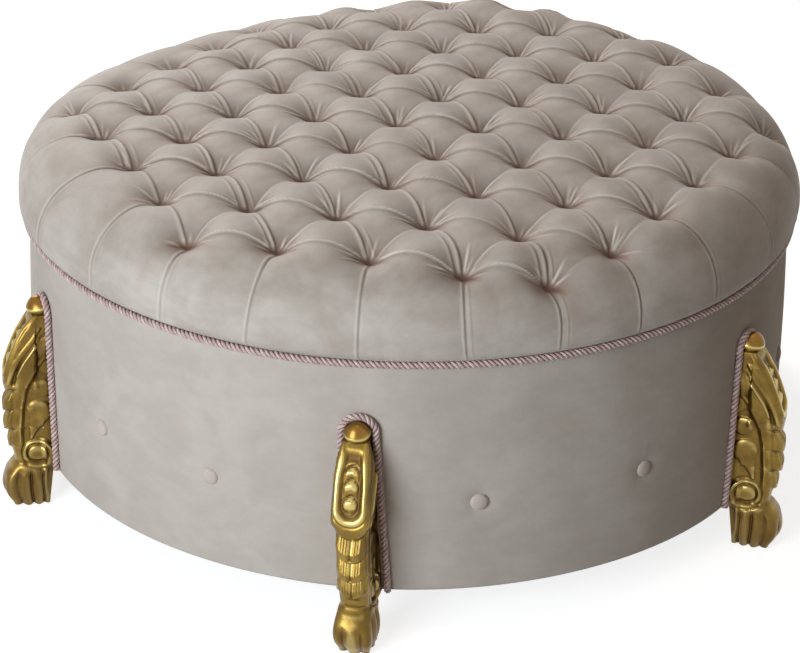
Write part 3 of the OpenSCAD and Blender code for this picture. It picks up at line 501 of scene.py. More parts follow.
class Quilting:
    """What the sewing does to the seat's cover at flat places q: how far it sinks into valleys
    between tufts, the heights of its folds, and the masks that paint highlights and shade on
    them. It is built up fold by fold, and every length is in millimetres."""

    def __init__(self, q):
        self.x, self.y = q.T
        self.valley, self.height, self.lip, self.groove, self.shade = np.zeros((5, len(q)))

    def line(self, a, b):
        """Where each place is beside the line from a to b: how far from a and from b along it,
        its share of the way, and how far it is to the line's left."""
        length = np.hypot(*(b - a))
        ahead_x, ahead_y = (b - a) / length
        dx, dy = self.x - a[0], self.y - a[1]
        t = dx * ahead_x + dy * ahead_y
        return t, length - t, np.clip(t / length, 0, 1), dy * ahead_x - dx * ahead_y

    def fold(self, w, strength, ridge, crease, lip, groove):
        """A fold along w = 0: ridge and crease are heights, lip a painted highlight and groove a
        painted shade, all soft ridges, each given by its amount, its place across the fold and its width."""
        ridge, crease, lip, groove = (amount * bump(w - place, width)
                                      for amount, place, width in (ridge, crease, lip, groove))
        self.height += strength * (ridge - crease)
        self.lip += strength * lip
        self.groove += strength * groove

    def diagonal(self, a, b, strong):
        """The fold from tuft a to tuft b in the next row. A strong one arches to the left: a full
        roll ends in a rounded lip over a thin crease, often with a lesser fold on either side. A
        weak one is a single shallow fold."""
        t, left_over, share, w = self.line(a, b)
        jitter = rng.normal(0, 1, 6)
        bow, depth = (6.5 + 1.6 * jitter[0], 0.19) if strong else (2.0 * jitter[0], 0.11)
        w = w - bow * np.sin(np.pi * share ** 0.9)
        within = smooth(t, -2, 8) * smooth(left_over, -2, 6)
        self.valley = np.maximum(
            self.valley, depth * (1 + 0.12 * jitter[1]) * fall(np.abs(w), 13) * within)
        if not strong:
            strength = (0.55 + 0.2 * jitter[2]) * within * smooth(share, 0.25, 0.8)
            self.fold(w, strength, (1.2, 2.4, 2.6), (1.4, 0, 1.6), (0.4, 2.6, 2.2), (0.55, 0, 1.2))
            return
        strength = (1 + 0.15 * jitter[2]) * within * (0.65 + 0.35 * smooth(share, 0.1, 0.6))
        left = smooth(-w, -0.9, 0.9)
        self.height += 0.8 * strength * (2.6 * left * fall(-w, 8) - 1.5 * (1 - left) * fall(w, 5))
        # Painted highlight on the roll's lip, painted shade in its crease and in front of it
        self.lip += 0.80 * strength * left * bump(w + 3.4, 2.8)
        self.groove += 0.95 * strength * bump(w - 0.6, 0.95)
        self.shade += 0.30 * strength * (1 - left) * fall(w, 9)
        if jitter[3] > -0.5:
            part = strength * smooth(share, 0.25, 0.6) * smooth(left_over, 2, 10)
            self.fold(w + 8.5 + 1.5 * jitter[4] + 3 * (1 - share), part,
                      (0.9, -1.4, 1.8), (0.8, 0.8, 1.4), (0.45, -1.6, 1.5), (0.50, 0.4, 1.2))
        if jitter[5] > 0.1:
            part = strength * smooth(share, 0.35, 0.7) * smooth(left_over, 2, 12)
            self.fold(w - 7.5 - 1.5 * jitter[4], part,
                      (0.7, -1.3, 1.6), (0.6, 0.8, 1.3), (0.4, -1.5, 1.4), (0.35, 0.4, 1.1))

    def crest(self, a, b):
        """The arched crest of a pillow from tuft a to the next tuft b of its row. The cover rises
        slowly behind it, then falls off to the front in a shaded step."""
        t, left_over, share, w = self.line(a, b)
        jitter = rng.normal(0, 1, 4)
        w = w - (9.5 + 2.0 * jitter[0]) * np.sin(np.pi * share ** 0.78)
        strength = (0.95 + 0.12 * jitter[1]) * smooth(t, 2, 12) * smooth(left_over, 0, 18)
        front = smooth(-w, -0.8, 1.6)
        step = front * (2.6 * fall(-w, 5) - 1.6) * fall(-w - 4, 12)
        self.height += 0.72 * strength * (3.0 * (1 - front) * fall(w, 13) + step + 0.9 * bump(w, 1.5))
        # Painted highlight along the crest, painted shade in a thin line behind it and below its step
        self.lip += strength * (0.92 + 0.15 * jitter[2]) * bump(w, 0.95)
        self.groove += 0.62 * strength * smooth(share, 0.3, 0.65) * bump(w - 1.9, 0.9)
        below = front * smooth(-w, 0.5, 3.5) * fall(-w - 3, 11)
        self.shade += strength * below * (0.55 + 0.3 * smooth(share, 0.2, 0.8))

    def pleat(self, a):
        """A pleat from an outermost tuft a down the side to the trim, often with a lesser one
        beside it."""
        t, _, share, w = self.line(a, a / np.hypot(*a) * (PROFILE_S[-1] + 4))
        jitter = rng.normal(0, 1, 5)
        w = w - 3.5 * jitter[0] * np.sin(np.pi * share) - 3.0 * jitter[1] * share
        start = smooth(t, -2, 8)
        self.valley = np.maximum(
            self.valley, (0.24 * (1 - share) ** 1.4 + 0.03) * fall(np.abs(w), 17) * start)
        strength = start * (0.85 + 0.15 * jitter[2]) * (1 - 0.35 * share)
        self.height += 0.7 * strength * smooth(-w, -1, 1) * fall(np.abs(w), 8)
        # The pleat paints a highlight on its lip and shade in its crease
        self.fold(w, strength, (1.0, -1.9, 1.5), (1.0, 0.6, 1.2), (0.75, -1.9, 1.2), (0.75, 0.6, 1.1))
        if jitter[3] > -0.4:
            part = 0.6 * strength * smooth(share, 0.0, 0.15)
            self.fold(w - 6 - 3.0 * share - 1.5 * jitter[4], part,
                      (0.8, -1.6, 1.4), (0.7, 0.6, 1.2), (0.5, -1.6, 1.2), (0.4, 0.6, 1.1))

    def gathers(self, places, index, near):
        """Short gathers that leave the tufts at places towards the back and sides. index and near
        say which tuft is nearest and how far off it is."""
        angle = np.arctan2(self.y - places[index, 1], self.x - places[index, 0])
        for _ in range(9):
            way = rng.uniform(-0.3, math.pi + 0.5, len(places))
            reach = rng.uniform(22, 54, len(places))[index]
            size = rng.uniform(0.3, 1.0, len(places)) ** 1.3
            turn = wrapped(angle - way[index])
            fade = plateau(near, 7, 13, 0.4 * reach, reach) * (np.abs(turn) < 1.2)
            # Each gather paints a highlight on its ridge and shade in the crease beside it
            self.fold(turn * near, fade * size[index],
                      (1.5, 0, 1.7), (0.75, 3.0, 1.7), (1.25, 0, 1.3), (0.40, 2.8, 1.3))


def seat_field(q):
    """How far the quilting sinks at flat places q, in millimetres, with its fold heights and the
    masks that paint highlights and shade on them. Round each tuft lies a wide funnel with a mouth
    along the row, and the folds of the Quilting run between the tufts and from the outermost ones
    to the trim."""
    x, y = q.T
    sink = np.zeros(len(q))
    near, mouth = np.full((2, len(q)), 1e9)
    index = np.zeros(len(q), int)
    flat = {key: unrolled(p) for key, p in TUFTS.items()}
    places = np.array(list(flat.values()))
    for i, p in enumerate(places):
        dx, dy = x - p[0], y - p[1]
        d = np.hypot(dx, dy)
        closer = d < near
        near[closer], index[closer] = d[closer], i
        along, over = dx - 0.10 * dy, dy + 0.10 * dx
        bend = over + 0.018 * along ** 2
        mouth = np.minimum(mouth, np.hypot(along / 2.7, bend / np.where(bend > 0, 1.0, 0.7)))
        # Wider towards the back, where the cover slopes down slowly to the tuft
        wide = 24 + 5 * np.clip(dy / np.maximum(d, 1), -0.4, 1)
        sink = sink + (1 - np.clip(sink, 0, 1)) * np.exp(-(d / wide) ** 1.35)

    quilt = Quilting(q)
    for (k, r), a in flat.items():
        for side in (1, -1):
            if (k + side, r - 1) in flat:
                quilt.diagonal(a, flat[(k + side, r - 1)], strong=side == 1)
        if (k + 2, r) in flat:
            quilt.crest(a, flat[(k + 2, r)])
    for (k, r), a in flat.items():
        if any((k + i, r + j) not in flat for i in (-1, 1) for j in (-1, 1)):
            quilt.pleat(a)
    quilt.gathers(places, index, near)
    calm = smooth(near, 3, 9)
    sink = sink + (1 - sink) * quilt.valley
    # Masks that paint the velvet: shade in the tufts' mouths (pit), round them (hollow), in creases (groove),
    # beside folds (shade) and deeper with the sink (deep), and highlights on the lips (lip)
    masks = {"pit": 1.35 - mouth / 7.0, "hollow": np.exp(-(mouth / 17) ** 2), "lip": quilt.lip * calm,
             "groove": quilt.groove * calm, "shade": quilt.shade * calm, "deep": smooth(sink, 0.16, 0.75)}
    masks = {key: np.clip(values, 0, 1) for key, values in masks.items()}
    return TUFT_DEPTH * np.clip(sink, 0, 1), quilt.height * calm, masks


def disc(n, radius):
    """A square grid of n by n cells bent into a disc: each ring of the square becomes a circle.
    Returns its points and the numbers of its rim's points, in order."""
    side = np.linspace(-1, 1, n + 1)
    a, b = np.meshgrid(side, side)
    wide = np.abs(a) >= np.abs(b)
    turn = np.where(wide, math.pi / 4 * b / np.where(a == 0, 1, a),
                    math.pi / 2 - math.pi / 4 * a / np.where(b == 0, 1, b))
    r = np.maximum(np.abs(a), np.abs(b)) * np.where(wide, np.sign(a), np.sign(b))
    numbers = np.arange((n + 1) ** 2).reshape(n + 1, n + 1)
    rim = np.concatenate([numbers[0, :-1], numbers[:-1, -1], numbers[-1, :0:-1], numbers[:0:-1, 0]])
    return np.stack([r * np.cos(turn), r * np.sin(turn)], -1).reshape(-1, 2) * radius, rim


# How the stuffing lies at the back: millimetres higher, its direction and its width in radians
SEAT_REST = [(14.0, 3.0, 0.34), (5.0, 2.3, 0.40), (-9.5, -2.5, 0.62), (-11.0, -2.15, 0.40)]


def tufted_seat():
    """The seat's cover: a disc for the top, then rings down the side. Each point starts on the
    outline and is moved by the depth of the quilting and the height of the folds there."""
    cells, top_s = 540, 486.0
    top, rim = disc(cells, top_s)
    ring_s = np.linspace(top_s, PROFILE_S[-1], 40)[1:]
    q = np.concatenate([top, (ring_s[:, None, None] * top[rim][None] / top_s).reshape(-1, 2)])
    depth, height, masks = seat_field(q)
    s = np.hypot(q[:, 0], q[:, 1])
    out = q / np.maximum(s, 1e-9)[:, None]
    r, z, normal_r, normal_z = (np.interp(s, PROFILE_S, v) for v in PROFILE)
    # Tufts pull the top straight down, side pleats go in along the normal, folds stand out along it
    settle = 1 - smooth(s, BELLY_S - 4, PROFILE_S[-1] - 12)
    lean = smooth(s, BELLY_S - 60, BELLY_S)
    r = r + settle * (height * normal_r - depth * normal_r * (0.25 + 0.75 * lean))
    z = z + settle * (height * normal_z - depth * (normal_z * lean + 1 - lean))
    turn = np.arctan2(out[:, 0], -out[:, 1])
    rest = sum(higher * bump(wrapped(turn - way), wide) for higher, way, wide in SEAT_REST)
    z = z + rest * plateau(s, 300, 470, BELLY_S - 70, BELLY_S)
    r = r + 1.2 * np.sin(7 * np.arctan2(out[:, 1], out[:, 0]) + 1) * smooth(s, BELLY_S - 40, BELLY_S) * settle
    points = np.stack([out[:, 0] * r, out[:, 1] * r, WALL_TOP + z], -1)
    rings = len(top) + np.arange(len(q) - len(top)).reshape(len(ring_s), -1)
    rings = np.concatenate([rim[None], rings])
    lower, upper = rings[1:], rings[:-1]
    sides = np.stack([upper, lower, np.roll(lower, -1, 1), np.roll(upper, -1, 1)], -1).reshape(-1, 4)
    faces = [grid_faces(cells + 1, cells + 1), sides, fan(rings[-1][::-1], len(points))]
    points = np.concatenate([points, [[0, 0, WALL_TOP + 0.3]]])
    return make_mesh("tufted_seat", points, faces, attributes={k: np.append(v, 0) for k, v in masks.items()})


seat = finish_piece(tufted_seat(), "seat_velvet", "seat_cover")


def domes(name, centres, axes, radius, rise, slot, node):
    """Covered buttons: a low dome with a rounded rim, a revolve about each centre's axis."""
    rows, cols, rim = 12, 28, 0.87
    t = np.linspace(0, 1, rows)[:, None]
    a = circle(cols)[None]
    r = radius * np.sin(math.pi / 2 * np.minimum(1, t * 1.15)) ** 0.9
    cap = np.clip(np.cos(math.pi / 2 * t / rim), 0, 1) ** 0.75 * 0.8 + 0.2
    h = rise * np.where(t < rim, cap, 0.2 * (1 - t) / (1 - rim))
    dome = np.stack([r * np.cos(a), r * np.sin(a), h + 0 * a], -1).reshape(-1, 3)
    dome = np.concatenate([dome, [[0, 0, 0]]])
    axes = unit(axes)
    side = unit(np.where(np.abs(axes[:, 2:]) < 0.9, np.cross([0, 0, 1.0], axes), [1.0, 0, 0]))
    points = centres[:, None] + dome @ np.stack([side, np.cross(axes, side), axes], 1)
    first = len(dome) * np.arange(len(centres))[:, None, None]
    quads = grid_faces(rows, cols, closed_cols=True)[:, ::-1] + first
    caps = fan((rows - 1) * cols + np.arange(cols), rows * cols)[:, ::-1] + first
    piece = make_mesh(name, points.reshape(-1, 3), [quads.reshape(-1, 4), caps.reshape(-1, 3)])
    finish_piece(piece, slot, node)


# Small buttons sit at the bottom of the tufts
tuft_places = np.array([[*p, WALL_TOP + float(crown(np.hypot(*p))) - TUFT_DEPTH - 4.6]
                        for p in TUFTS.values()])
domes("tuft_button_covers", tuft_places, np.array([[0, 0, 1.0]] * len(tuft_places)), 5.6, 2.4,
      "seat_velvet", "tuft_buttons")


# The padded wall
def padded_wall():
    """The wall's velvet: its outline carried round the drum, pulled in round each button with a
    few fine gathers, a little slack in soft waves, and turned under at the bottom."""
    cols, corner_r, turn_in_r, lining_r = 960, 5, 470, 468.0
    foot_r, middle_r = WALL_R + WALL_FLARE, 483
    z_out = np.linspace(WALL_TOP, WALL_BOTTOM + corner_r, 84)
    corner = np.linspace(0, math.pi / 2, 7)[1:]
    r_out = np.concatenate([wall_at(z_out), foot_r - corner_r * (1 - np.cos(corner)), [turn_in_r, HEM_R]])
    z_out = np.concatenate([z_out, WALL_BOTTOM + corner_r * (1 - np.sin(corner)), [WALL_BOTTOM] * 2])
    r_in = [HEM_R, foot_r - VELVET, WALL_R - VELVET, lining_r, lining_r]
    z_in = [WALL_BOTTOM + VELVET, WALL_BOTTOM + VELVET, WALL_TOP - VELVET, WALL_TOP - VELVET, WALL_TOP]
    turn, z = np.meshgrid(circle(cols), z_out)
    free = plateau(z, WALL_BOTTOM + 2, WALL_BOTTOM + 16, WALL_TOP - 14, WALL_TOP - 2)
    belly = np.sin(math.pi * (z - WALL_BOTTOM) / WALL_H)
    relief = 0.9 * np.sin(9 * turn + 0.8 * np.sin(3 * turn)) * belly
    relief += 0.5 * np.sin(23 * turn + 2.2 * np.sin(2 * turn) + z / 60) + 1.4 * belly
    for place in BUTTON_TURNS:
        along, up = wrapped(turn - math.radians(place)) * middle_r, z - BUTTON_Z
        d = np.hypot(along, up)
        relief -= 4.2 / (1 + (d / 15) ** 2) ** 1.4
        for _ in range(5):
            direction = rng.uniform(0.2, math.pi + 0.6)
            size = rng.uniform(0.3, 0.9)
            off = wrapped(np.arctan2(up, along) - direction)
            gather = bump(off * d, 2.2) * (np.abs(off) < 1.2) * plateau(d, 9, 15, 22, 46)
            relief += 0.55 * size * gather
    for place in LEG_TURNS:
        along = wrapped(turn - math.radians(place)) * middle_r
        relief -= 1.5 * bump(along, 30) * plateau(z, 57, 90, 250, 300)
    r = np.concatenate([r_out[:, None] + relief * free, np.repeat(np.array(r_in)[:, None], cols, 1)])
    turn, z = np.meshgrid(circle(cols), np.concatenate([z_out, z_in]))
    # The hem hangs a little below the panel, most at the front on the left
    hang = 2.4 + 4.0 * bump(wrapped(turn + 0.95), 0.5) + 2.5 * bump(turn - 0.95, 0.3)
    z = z - hang * (1 - smooth(z, WALL_BOTTOM, WALL_BOTTOM + 45))
    points = np.stack([r * np.sin(turn), -r * np.cos(turn), z], -1).reshape(-1, 3)
    faces = grid_faces(len(r), cols, closed_rows=True, closed_cols=True)[:, ::-1]
    return make_mesh("padded_wall", points, [faces])


wall = finish_piece(padded_wall(), "wall_velvet", "wall_cover")


def dust_cloth():
    """The cloth under the drum: one thin round piece, stretched flat with faint ripples."""
    low, high = (np.array(corner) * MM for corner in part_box("dust_cover"))
    radius, middle_z, thick = (high[0] - low[0]) / 2, low[2] + 0.3, 0.6
    rows, cols = 40, 192
    r = np.linspace(radius / rows, radius, rows)[:, None]
    a = circle(cols)[None]
    dimple = 0.25 * np.sin(r / 37) * np.sin(5 * a + r / 60) * (1 - (r / radius) ** 4)
    lower = np.stack([r * np.cos(a), r * np.sin(a), middle_z + dimple], -1).reshape(-1, 3)
    n = rows * cols
    rim = np.arange((rows - 1) * cols, n)
    points = np.concatenate([lower, lower + [0, 0, thick], [[0, 0, middle_z], [0, 0, middle_z + thick]]])
    web = grid_faces(rows, cols, closed_cols=True)
    edge = np.stack([rim, np.roll(rim, -1), np.roll(rim, -1) + n, rim + n], 1)
    caps = [fan(np.arange(cols)[::-1], 2 * n), fan(n + np.arange(cols), 2 * n + 1)]
    faces = [np.concatenate([web[:, ::-1], web + n, edge]), np.concatenate(caps)]
    return finish_piece(make_mesh("dust_cloth", points, faces), "dust_cloth", "dust_cover")


dust_cloth()
# The side buttons are pulled into the wall and look up a little
button_out = np.array([[math.sin(a), -math.cos(a), 0.02] for a in np.radians(BUTTON_TURNS)])
button_r = wall_at(BUTTON_Z) - 3.4
domes("button_covers", button_out * [button_r, button_r, 0] + [0, 0, BUTTON_Z], button_out, BUTTON_D / 2, 6.6,
      "button_velvet", "side_buttons")


# Rope trims
def rope(name, path, outward, closed, node):
    """A twisted cord: a section with three lobes carried along a path and turned as it goes, one
    full turn every lay. The tone marks one of the strands and the groove the spaces between,
    where the rope's finish paints shade."""
    lobes, lay, radius, core = 3, 17.5, CORD_D / 2 * 1.06, 0.66
    step = np.diff(np.concatenate([path, path[:1]]) if closed else path, axis=0)
    length = np.concatenate([[0], np.cumsum(np.linalg.norm(step, axis=1))])
    if closed:
        lay = length[-1] / round(length[-1] / lay)
        length = length[:-1]
        ahead = np.roll(path, -1, 0) - np.roll(path, 1, 0)
    else:
        ahead = np.gradient(path, axis=0)
    ahead = unit(ahead)
    outward = unit(outward - (outward * ahead).sum(1, keepdims=True) * ahead)
    across = np.cross(ahead, outward)
    theta = circle(lobes * 6)
    ridge = np.abs(np.cos(lobes * theta / 2)) ** 0.70
    section = radius * (core + (1 - core) * ridge)
    twist = math.tau * length[:, None] / lay + theta[None]
    points = path[:, None] + section[None, :, None] * (
        np.cos(twist)[..., None] * outward[:, None] + np.sin(twist)[..., None] * across[:, None])
    rows, cols = twist.shape
    faces = [grid_faces(rows, cols, closed_rows=closed, closed_cols=True)[:, ::-1]]
    points = points.reshape(-1, 3)
    # The groove mask marks where shade is painted between the strands
    tone, groove = np.tile(0.5 + 0.5 * np.cos(theta), rows), np.tile(1 - ridge, rows)
    uv = np.stack(np.broadcast_arrays(theta[None] / math.tau, length[:, None]), -1).reshape(-1, 2)
    if not closed:
        points = np.concatenate([points, path[:1], path[-1:]])
        end = rows * cols
        faces += [fan(np.arange(cols), end), fan(np.arange(end - cols, end)[::-1], end + 1)]
        tone, groove = np.append(tone, [1, 1]), np.append(groove, [0, 0])
        uv = np.concatenate([uv, [[0, 0], [0, 0]]])
    piece = make_mesh(name, points, faces, attributes={"tone": tone, "groove": groove}, uv=uv)
    finish_piece(piece, "rope", node)


def seat_rope():
    """The rope in the crease under the seat: a level ring that sags a little here and there."""
    turn = circle(2400)
    out = np.stack([np.sin(turn), -np.cos(turn), 0 * turn], -1)
    sag = 0.5 * np.sin(5 * turn + 0.7) + 0.3 * np.sin(11 * turn)
    path = out * SEAT_CORD_R + sag[:, None] * [0, 0, 1] + [0, 0, SEAT_CORD_Z]
    rope("seat_rope", path, out, True, "seat_cord")


seat_rope()


def leaning(z, aside):
    """How far a leg stands aside at height z: none at its knob, all of it at the floor."""
    return aside * np.clip(1 - z / LEAN_Z, 0, 1)


def leg_rope(number, turn):
    """A leg's rope: up one side, over the knob in a half circle and down the other side, always
    against the wall, and leaning with its leg."""
    aside, left, right = LEG_SETTING[number - 1][1], *LEG_SETTING[number - 1][3:]
    z = np.linspace(WALL_BOTTOM, LOOP_Z, 190)
    rise = (z - WALL_BOTTOM) / (LOOP_Z - WALL_BOTTOM)
    a = np.linspace(0, math.pi, 60)[1:-1]
    y = np.concatenate([-left + (left - LOOP_R) * rise, -LOOP_R * np.cos(a),
                        (right + (LOOP_R - right) * rise)[::-1]])
    z = np.concatenate([z, LOOP_Z + LOOP_R * np.sin(a), z[::-1]])
    y = y + leaning(z, aside)
    x = np.sqrt((wall_at(z) + 0.3 + CORD_D / 2) ** 2 - y ** 2)
    path = to_place(np.stack([x, y, z], -1), turn)
    rope(f"leg_rope_{number}", path, path * [1, 1, 0], False, f"leg_cord_{number}")


for number, turn in enumerate(LEG_TURNS, 1):
    leg_rope(number, turn)


# Carved legs
# Levels of the outline as shares: height of LEG_H, reach of LEG_REACH, width of FOOT_W or LEG_W,
# and on the stem how far the front of the level dips
FOOT_SHARES = [(0.028, 0.87, 0.86), (0.065, 0.97, 0.97), (0.110, 0.99, 1.00), (0.158, 0.93, 0.93),
               (0.198, 0.80, 0.80)]
STEM_SHARES = [
    (0.224, 0.74, 0.88, 0), (0.262, 0.76, 0.90, 0), (0.300, 0.78, 0.91, 1),
    (0.307, 0.83, 0.92, 1), (0.340, 0.84, 0.93, 1), (0.386, 0.79, 0.93, 1),
    (0.393, 0.88, 0.93, 1), (0.425, 0.89, 0.93, 1), (0.481, 0.81, 0.93, 1),
    (0.488, 0.88, 0.93, 1), (0.526, 0.88, 0.94, 1), (0.582, 0.74, 0.95, 1),
    (0.592, 0.82, 1.00, 1), (0.625, 0.84, 1.00, 0.6), (0.675, 0.81, 1.00, 0.2),
    (0.725, 0.74, 1.00, 0), (0.775, 0.66, 1.00, 0), (0.825, 0.57, 0.98, 0),
    (0.868, 0.47, 0.94, 0), (0.903, 0.37, 0.80, 0), (0.930, 0.29, 0.64, 0)]


def leg_levels():
    """The leg's outline from the floor up: height, reach, half width and dip at each level."""
    rows = [(GLIDE_H, 0.82 * LEG_REACH, 0.78 * FOOT_W / 2, 0)]
    rows += [(h * LEG_H, x * LEG_REACH, w * FOOT_W / 2, 0) for h, x, w in FOOT_SHARES]
    rows += [(h * LEG_H, x * LEG_REACH, w * LEG_W / 2, d * LEG_W / 5) for h, x, w, d in STEM_SHARES]
    return np.array(rows).T


def spline(points, steps=48):
    """A smooth run through a few rows of [x, z, half width]."""
    p = np.asarray(points, float)
    p = np.concatenate([[2 * p[0] - p[1]], p, [2 * p[-1] - p[-2]]])
    t = np.linspace(0, len(p) - 3 - 1e-9, steps)
    i = t.astype(int)
    f = (t - i)[:, None]
    a, b, c, d = p[i], p[i + 1], p[i + 2], p[i + 3]
    bend, twist = 2 * a - 5 * b + 4 * c - d, 3 * b - a - 3 * c + d
    return 0.5 * (2 * b + (c - a) * f + bend * f ** 2 + twist * f ** 3)


def to_band(x, z, points):
    """Where (x, z) lies against a band of changing width: its distance from the band's middle in
    millimetres, the half width there, and the side, above 0 to the left of a walk along it."""
    path = spline(points)
    best, half, side = np.full(np.shape(x), 1e9), np.ones(np.shape(x)), np.zeros(np.shape(x))
    for a, b in zip(path[:-1], path[1:]):
        length = math.hypot(*(b - a)[:2])
        d = (b - a)[:2] / length
        t = np.clip((x - a[0]) * d[0] + (z - a[1]) * d[1], 0, length)
        px, pz = x - a[0] - t * d[0], z - a[1] - t * d[1]
        dist = np.hypot(px, pz)
        closer = dist < best
        best = np.where(closer, dist, best)
        half = np.where(closer, a[2] + (b[2] - a[2]) * t / length, half)
        side = np.where(closer, d[0] * pz - d[1] * px, side)
    return best, np.maximum(half, 0.3), side


# Lines on a leg's side: rows of distance beyond the wall's top radius, height and half width
CREST = [(0, 228, 5), (6, 220, 6), (18, 210, 7.5), (29, 196, 8), (40, 179, 7), (45, 165, 5),
         (47.5, 146, 4.5), (49, 123, 4.5), (52, 103, 4.5), (53.5, 86, 5), (52, 69, 5), (44.5, 55, 5),
         (30, 49, 5), (16, 56, 4.5)]
INNER = [(-6, 204, 3), (7, 199, 3), (20, 184, 3), (32, 164, 2.8), (38, 142, 2.6), (41, 122, 2.6),
         (43.5, 101, 2.4), (44, 82, 2)]
VALLEY = [(15, 238, 1.6), (24, 224, 3.0), (35, 206, 3.6), (45, 186, 3.4), (51, 168, 2.2)]
MIDDLE_RIB = [(15, 232, 0.8), (26, 214, 1.4), (37, 197, 1.6), (46, 179, 1.0)]
FRONT_RIB = [(17, 238, 4.0), (24, 226, 4.6), (34, 212, 5.2), (45, 198, 5.4), (53, 183, 5.2), (58, 169, 4.2)]
LEAF_TAIL = [(25, 118, 9.5), (29, 107, 6.4), (32, 98, 3.8), (34, 91, 2.2)]
# Each leaf's middle, its half width and half height, and its tilt in radians
LEAVES = [(9.8, 187, 10.2, 12.6, 0.62), (17.6, 158.5, 11.6, 12.4, 0.34), (23.0, 127, 14.0, 15.4, 0.16)]
VOLUTE, VOLUTE_DISC, VOLUTE_RING = (28.8, 70.0), 11.0, 18.8
# Depths of the broad sheet and of the ground behind the carving
SHEET, GROUND = -0.8, -3.1


def side_relief(x, z):
    """Carving on a leg's side over (distance beyond the wall, height), 0 at its full width and
    below 0 where wood is cut away: a broad sheet that sweeps down from the neck behind the
    lappets and round a volute, two ribs in front of it, and three leaves that overlap behind."""
    _, _, side = to_band(x, z, INNER)
    side = np.where(z < 80, 4.0, side)
    out = GROUND + (SHEET - GROUND) * smooth(side, -5.0, 4.0)
    out += 0.9 * bump(side - 3.0, 2.4) * smooth(z, 74, 92) - 0.4 * bump(side + 2.0, 1.8) * (x < 46) * (z > 82)
    # The sheet's crest, highest and broadest at the neck
    dist, half, side = to_band(x, z, CREST)
    out += (0.9 + 1.3 * smooth(z, 150, 190)) * rounded(dist / (1.5 * half)) ** 1.5
    out -= 1.1 * bump(side - half - 1.2, 1.8) * plateau(z, 58, 70, 150, 166)
    dist, half, _ = to_band(x, z, VALLEY)
    out -= 3.4 * bump(dist / half, 0.9) * (1 - smooth(z, 236, 246))
    dist, half, _ = to_band(x, z, MIDDLE_RIB)
    out += 2.9 * rounded(dist / (1.6 * half)) * smooth(half, 0.6, 1.3)
    dist, half, _ = to_band(x, z, FRONT_RIB)
    out = np.where(dist < half, np.maximum(out, -3.4 + 3.8 * rounded(dist / half)), out)
    # Leaves: full lobes with a bright upper rim, whose lower ends melt into the sheet
    for cx, cz, wide, tall, tilt in LEAVES:
        u, v = turned(x - cx, z - cz, tilt)
        d = np.hypot(u / wide, v / tall)
        upper = smooth(v, -0.5 * tall, 0.8 * tall)
        lobe = GROUND + 3.5 * rounded(d, 2.8) * (0.55 + 0.35 * upper) - 0.7 * bump(d, 0.5) * upper
        out = np.where(d < 1, np.maximum(out, lobe), out)
        free = smooth(u, -0.5 * wide, 0.4 * wide)
        out -= 0.7 * bump((d - 1.06) * wide, 1.5) * (0.25 + 0.75 * free)
    dist, half, _ = to_band(x, z, LEAF_TAIL)
    out = np.maximum(out, GROUND + 2.4 * rounded(dist / half))
    # The volute: a disc in a ring that thins as it turns in
    dx, dz = x - VOLUTE[0], z - VOLUTE[1]
    d = np.hypot(dx, dz)
    thick = 1 - 0.45 * smooth(np.abs(wrapped(np.arctan2(dz, dx) + math.radians(100))), 1.2, 2.9)
    hollow = 1 - smooth(d, VOLUTE_RING - 0.5, VOLUTE_RING + 1.5)
    out = out * (1 - hollow) + hollow * (GROUND + 0.2)
    ring = rounded((d - (VOLUTE_DISC + VOLUTE_RING + 0.6) / 2) / (3.9 * thick))
    out = np.where(ring > 0, np.maximum(out, GROUND + (2.0 + 1.4 * thick) * ring), out)
    out -= 1.3 * bump(d - VOLUTE_RING - 1.6, 1.2) * smooth(-dx, -4, 8) * smooth(z, 44, 50)
    disc = GROUND + 4.0 * rounded(d / VOLUTE_DISC, 5) + 0.4 * np.clip(1 - (d / 9) ** 2, 0, 1)
    return np.where(d < VOLUTE_DISC, np.maximum(out, disc), out)


# The cartouche on a leg's front: depth of its ground, half width, and height of its round foot.
# Each husk in it has a height for its head and a length
FIELD_DEPTH, FIELD_HALF, FIELD_FOOT = 4.8, 14.4, 177.0
HUSKS = [(236.0, 13.5), (223.5, 18.0), (206.5, 25.0)]


def front_relief(y, z):
    """Carving on a leg's front over (sideways, height): a cartouche hollowed inside a broad rim
    that is open at its head, with three husks on its ground, each over the one above it."""
    half = FIELD_HALF * (1 - 0.24 * smooth(z, 212, 246))
    below = np.maximum(FIELD_FOOT + half - z, 0)
    d = np.hypot(y, below) - half
    open_top = 1 - smooth(z, 238, 250)
    out = -FIELD_DEPTH * (1 - smooth(d, -5.0, 0.8)) * open_top
    rim = rounded((d - 2.8) / 3.6, 2.4)
    out = np.where(np.abs(d - 2.8) < 3.6, np.maximum(out, 1.9 * rim - 1.0), out)
    out -= 1.1 * bump(d - 7.2, 0.9) * (1 - smooth(z, 178, 190))
    for top, length in HUSKS:
        drop = top - 0.092 * y ** 2 - z
        wide = 8.2 * (1 - 0.72 * smooth(drop, 0.35 * length, length) * (length > 20))
        husk = 4.6 * rounded(y / wide, 2.4) * smooth(drop, 3.4, 6.4) * (1 - 0.75 * smooth(drop, 6, length))
        inside = (drop > 0) & (drop < length) & (np.abs(y) < wide)
        out = np.where(inside, np.maximum(husk - FIELD_DEPTH, out - 2), out)
        lip = 1.9 * bump(drop - 0.4, 1.0) - 1.0 * bump(drop - 3.0, 1.4)
        out += lip * (1 - smooth(np.abs(y), 6.8, 9.4)) * open_top
    return out * (z > 150)


# Each lappet from its foot to its head, as shares of LEG_H
LAPPET_SHARES = [(0.300, 0.386), (0.393, 0.481), (0.488, 0.585)]
# The lappets' flutes: how far beside the middle, and how deep
LAPPET_FLUTES = [(3.6, 1.1), (6.6, 1.3), (9.6, 1.0)]
FLUTE_PITCH = math.radians(31)


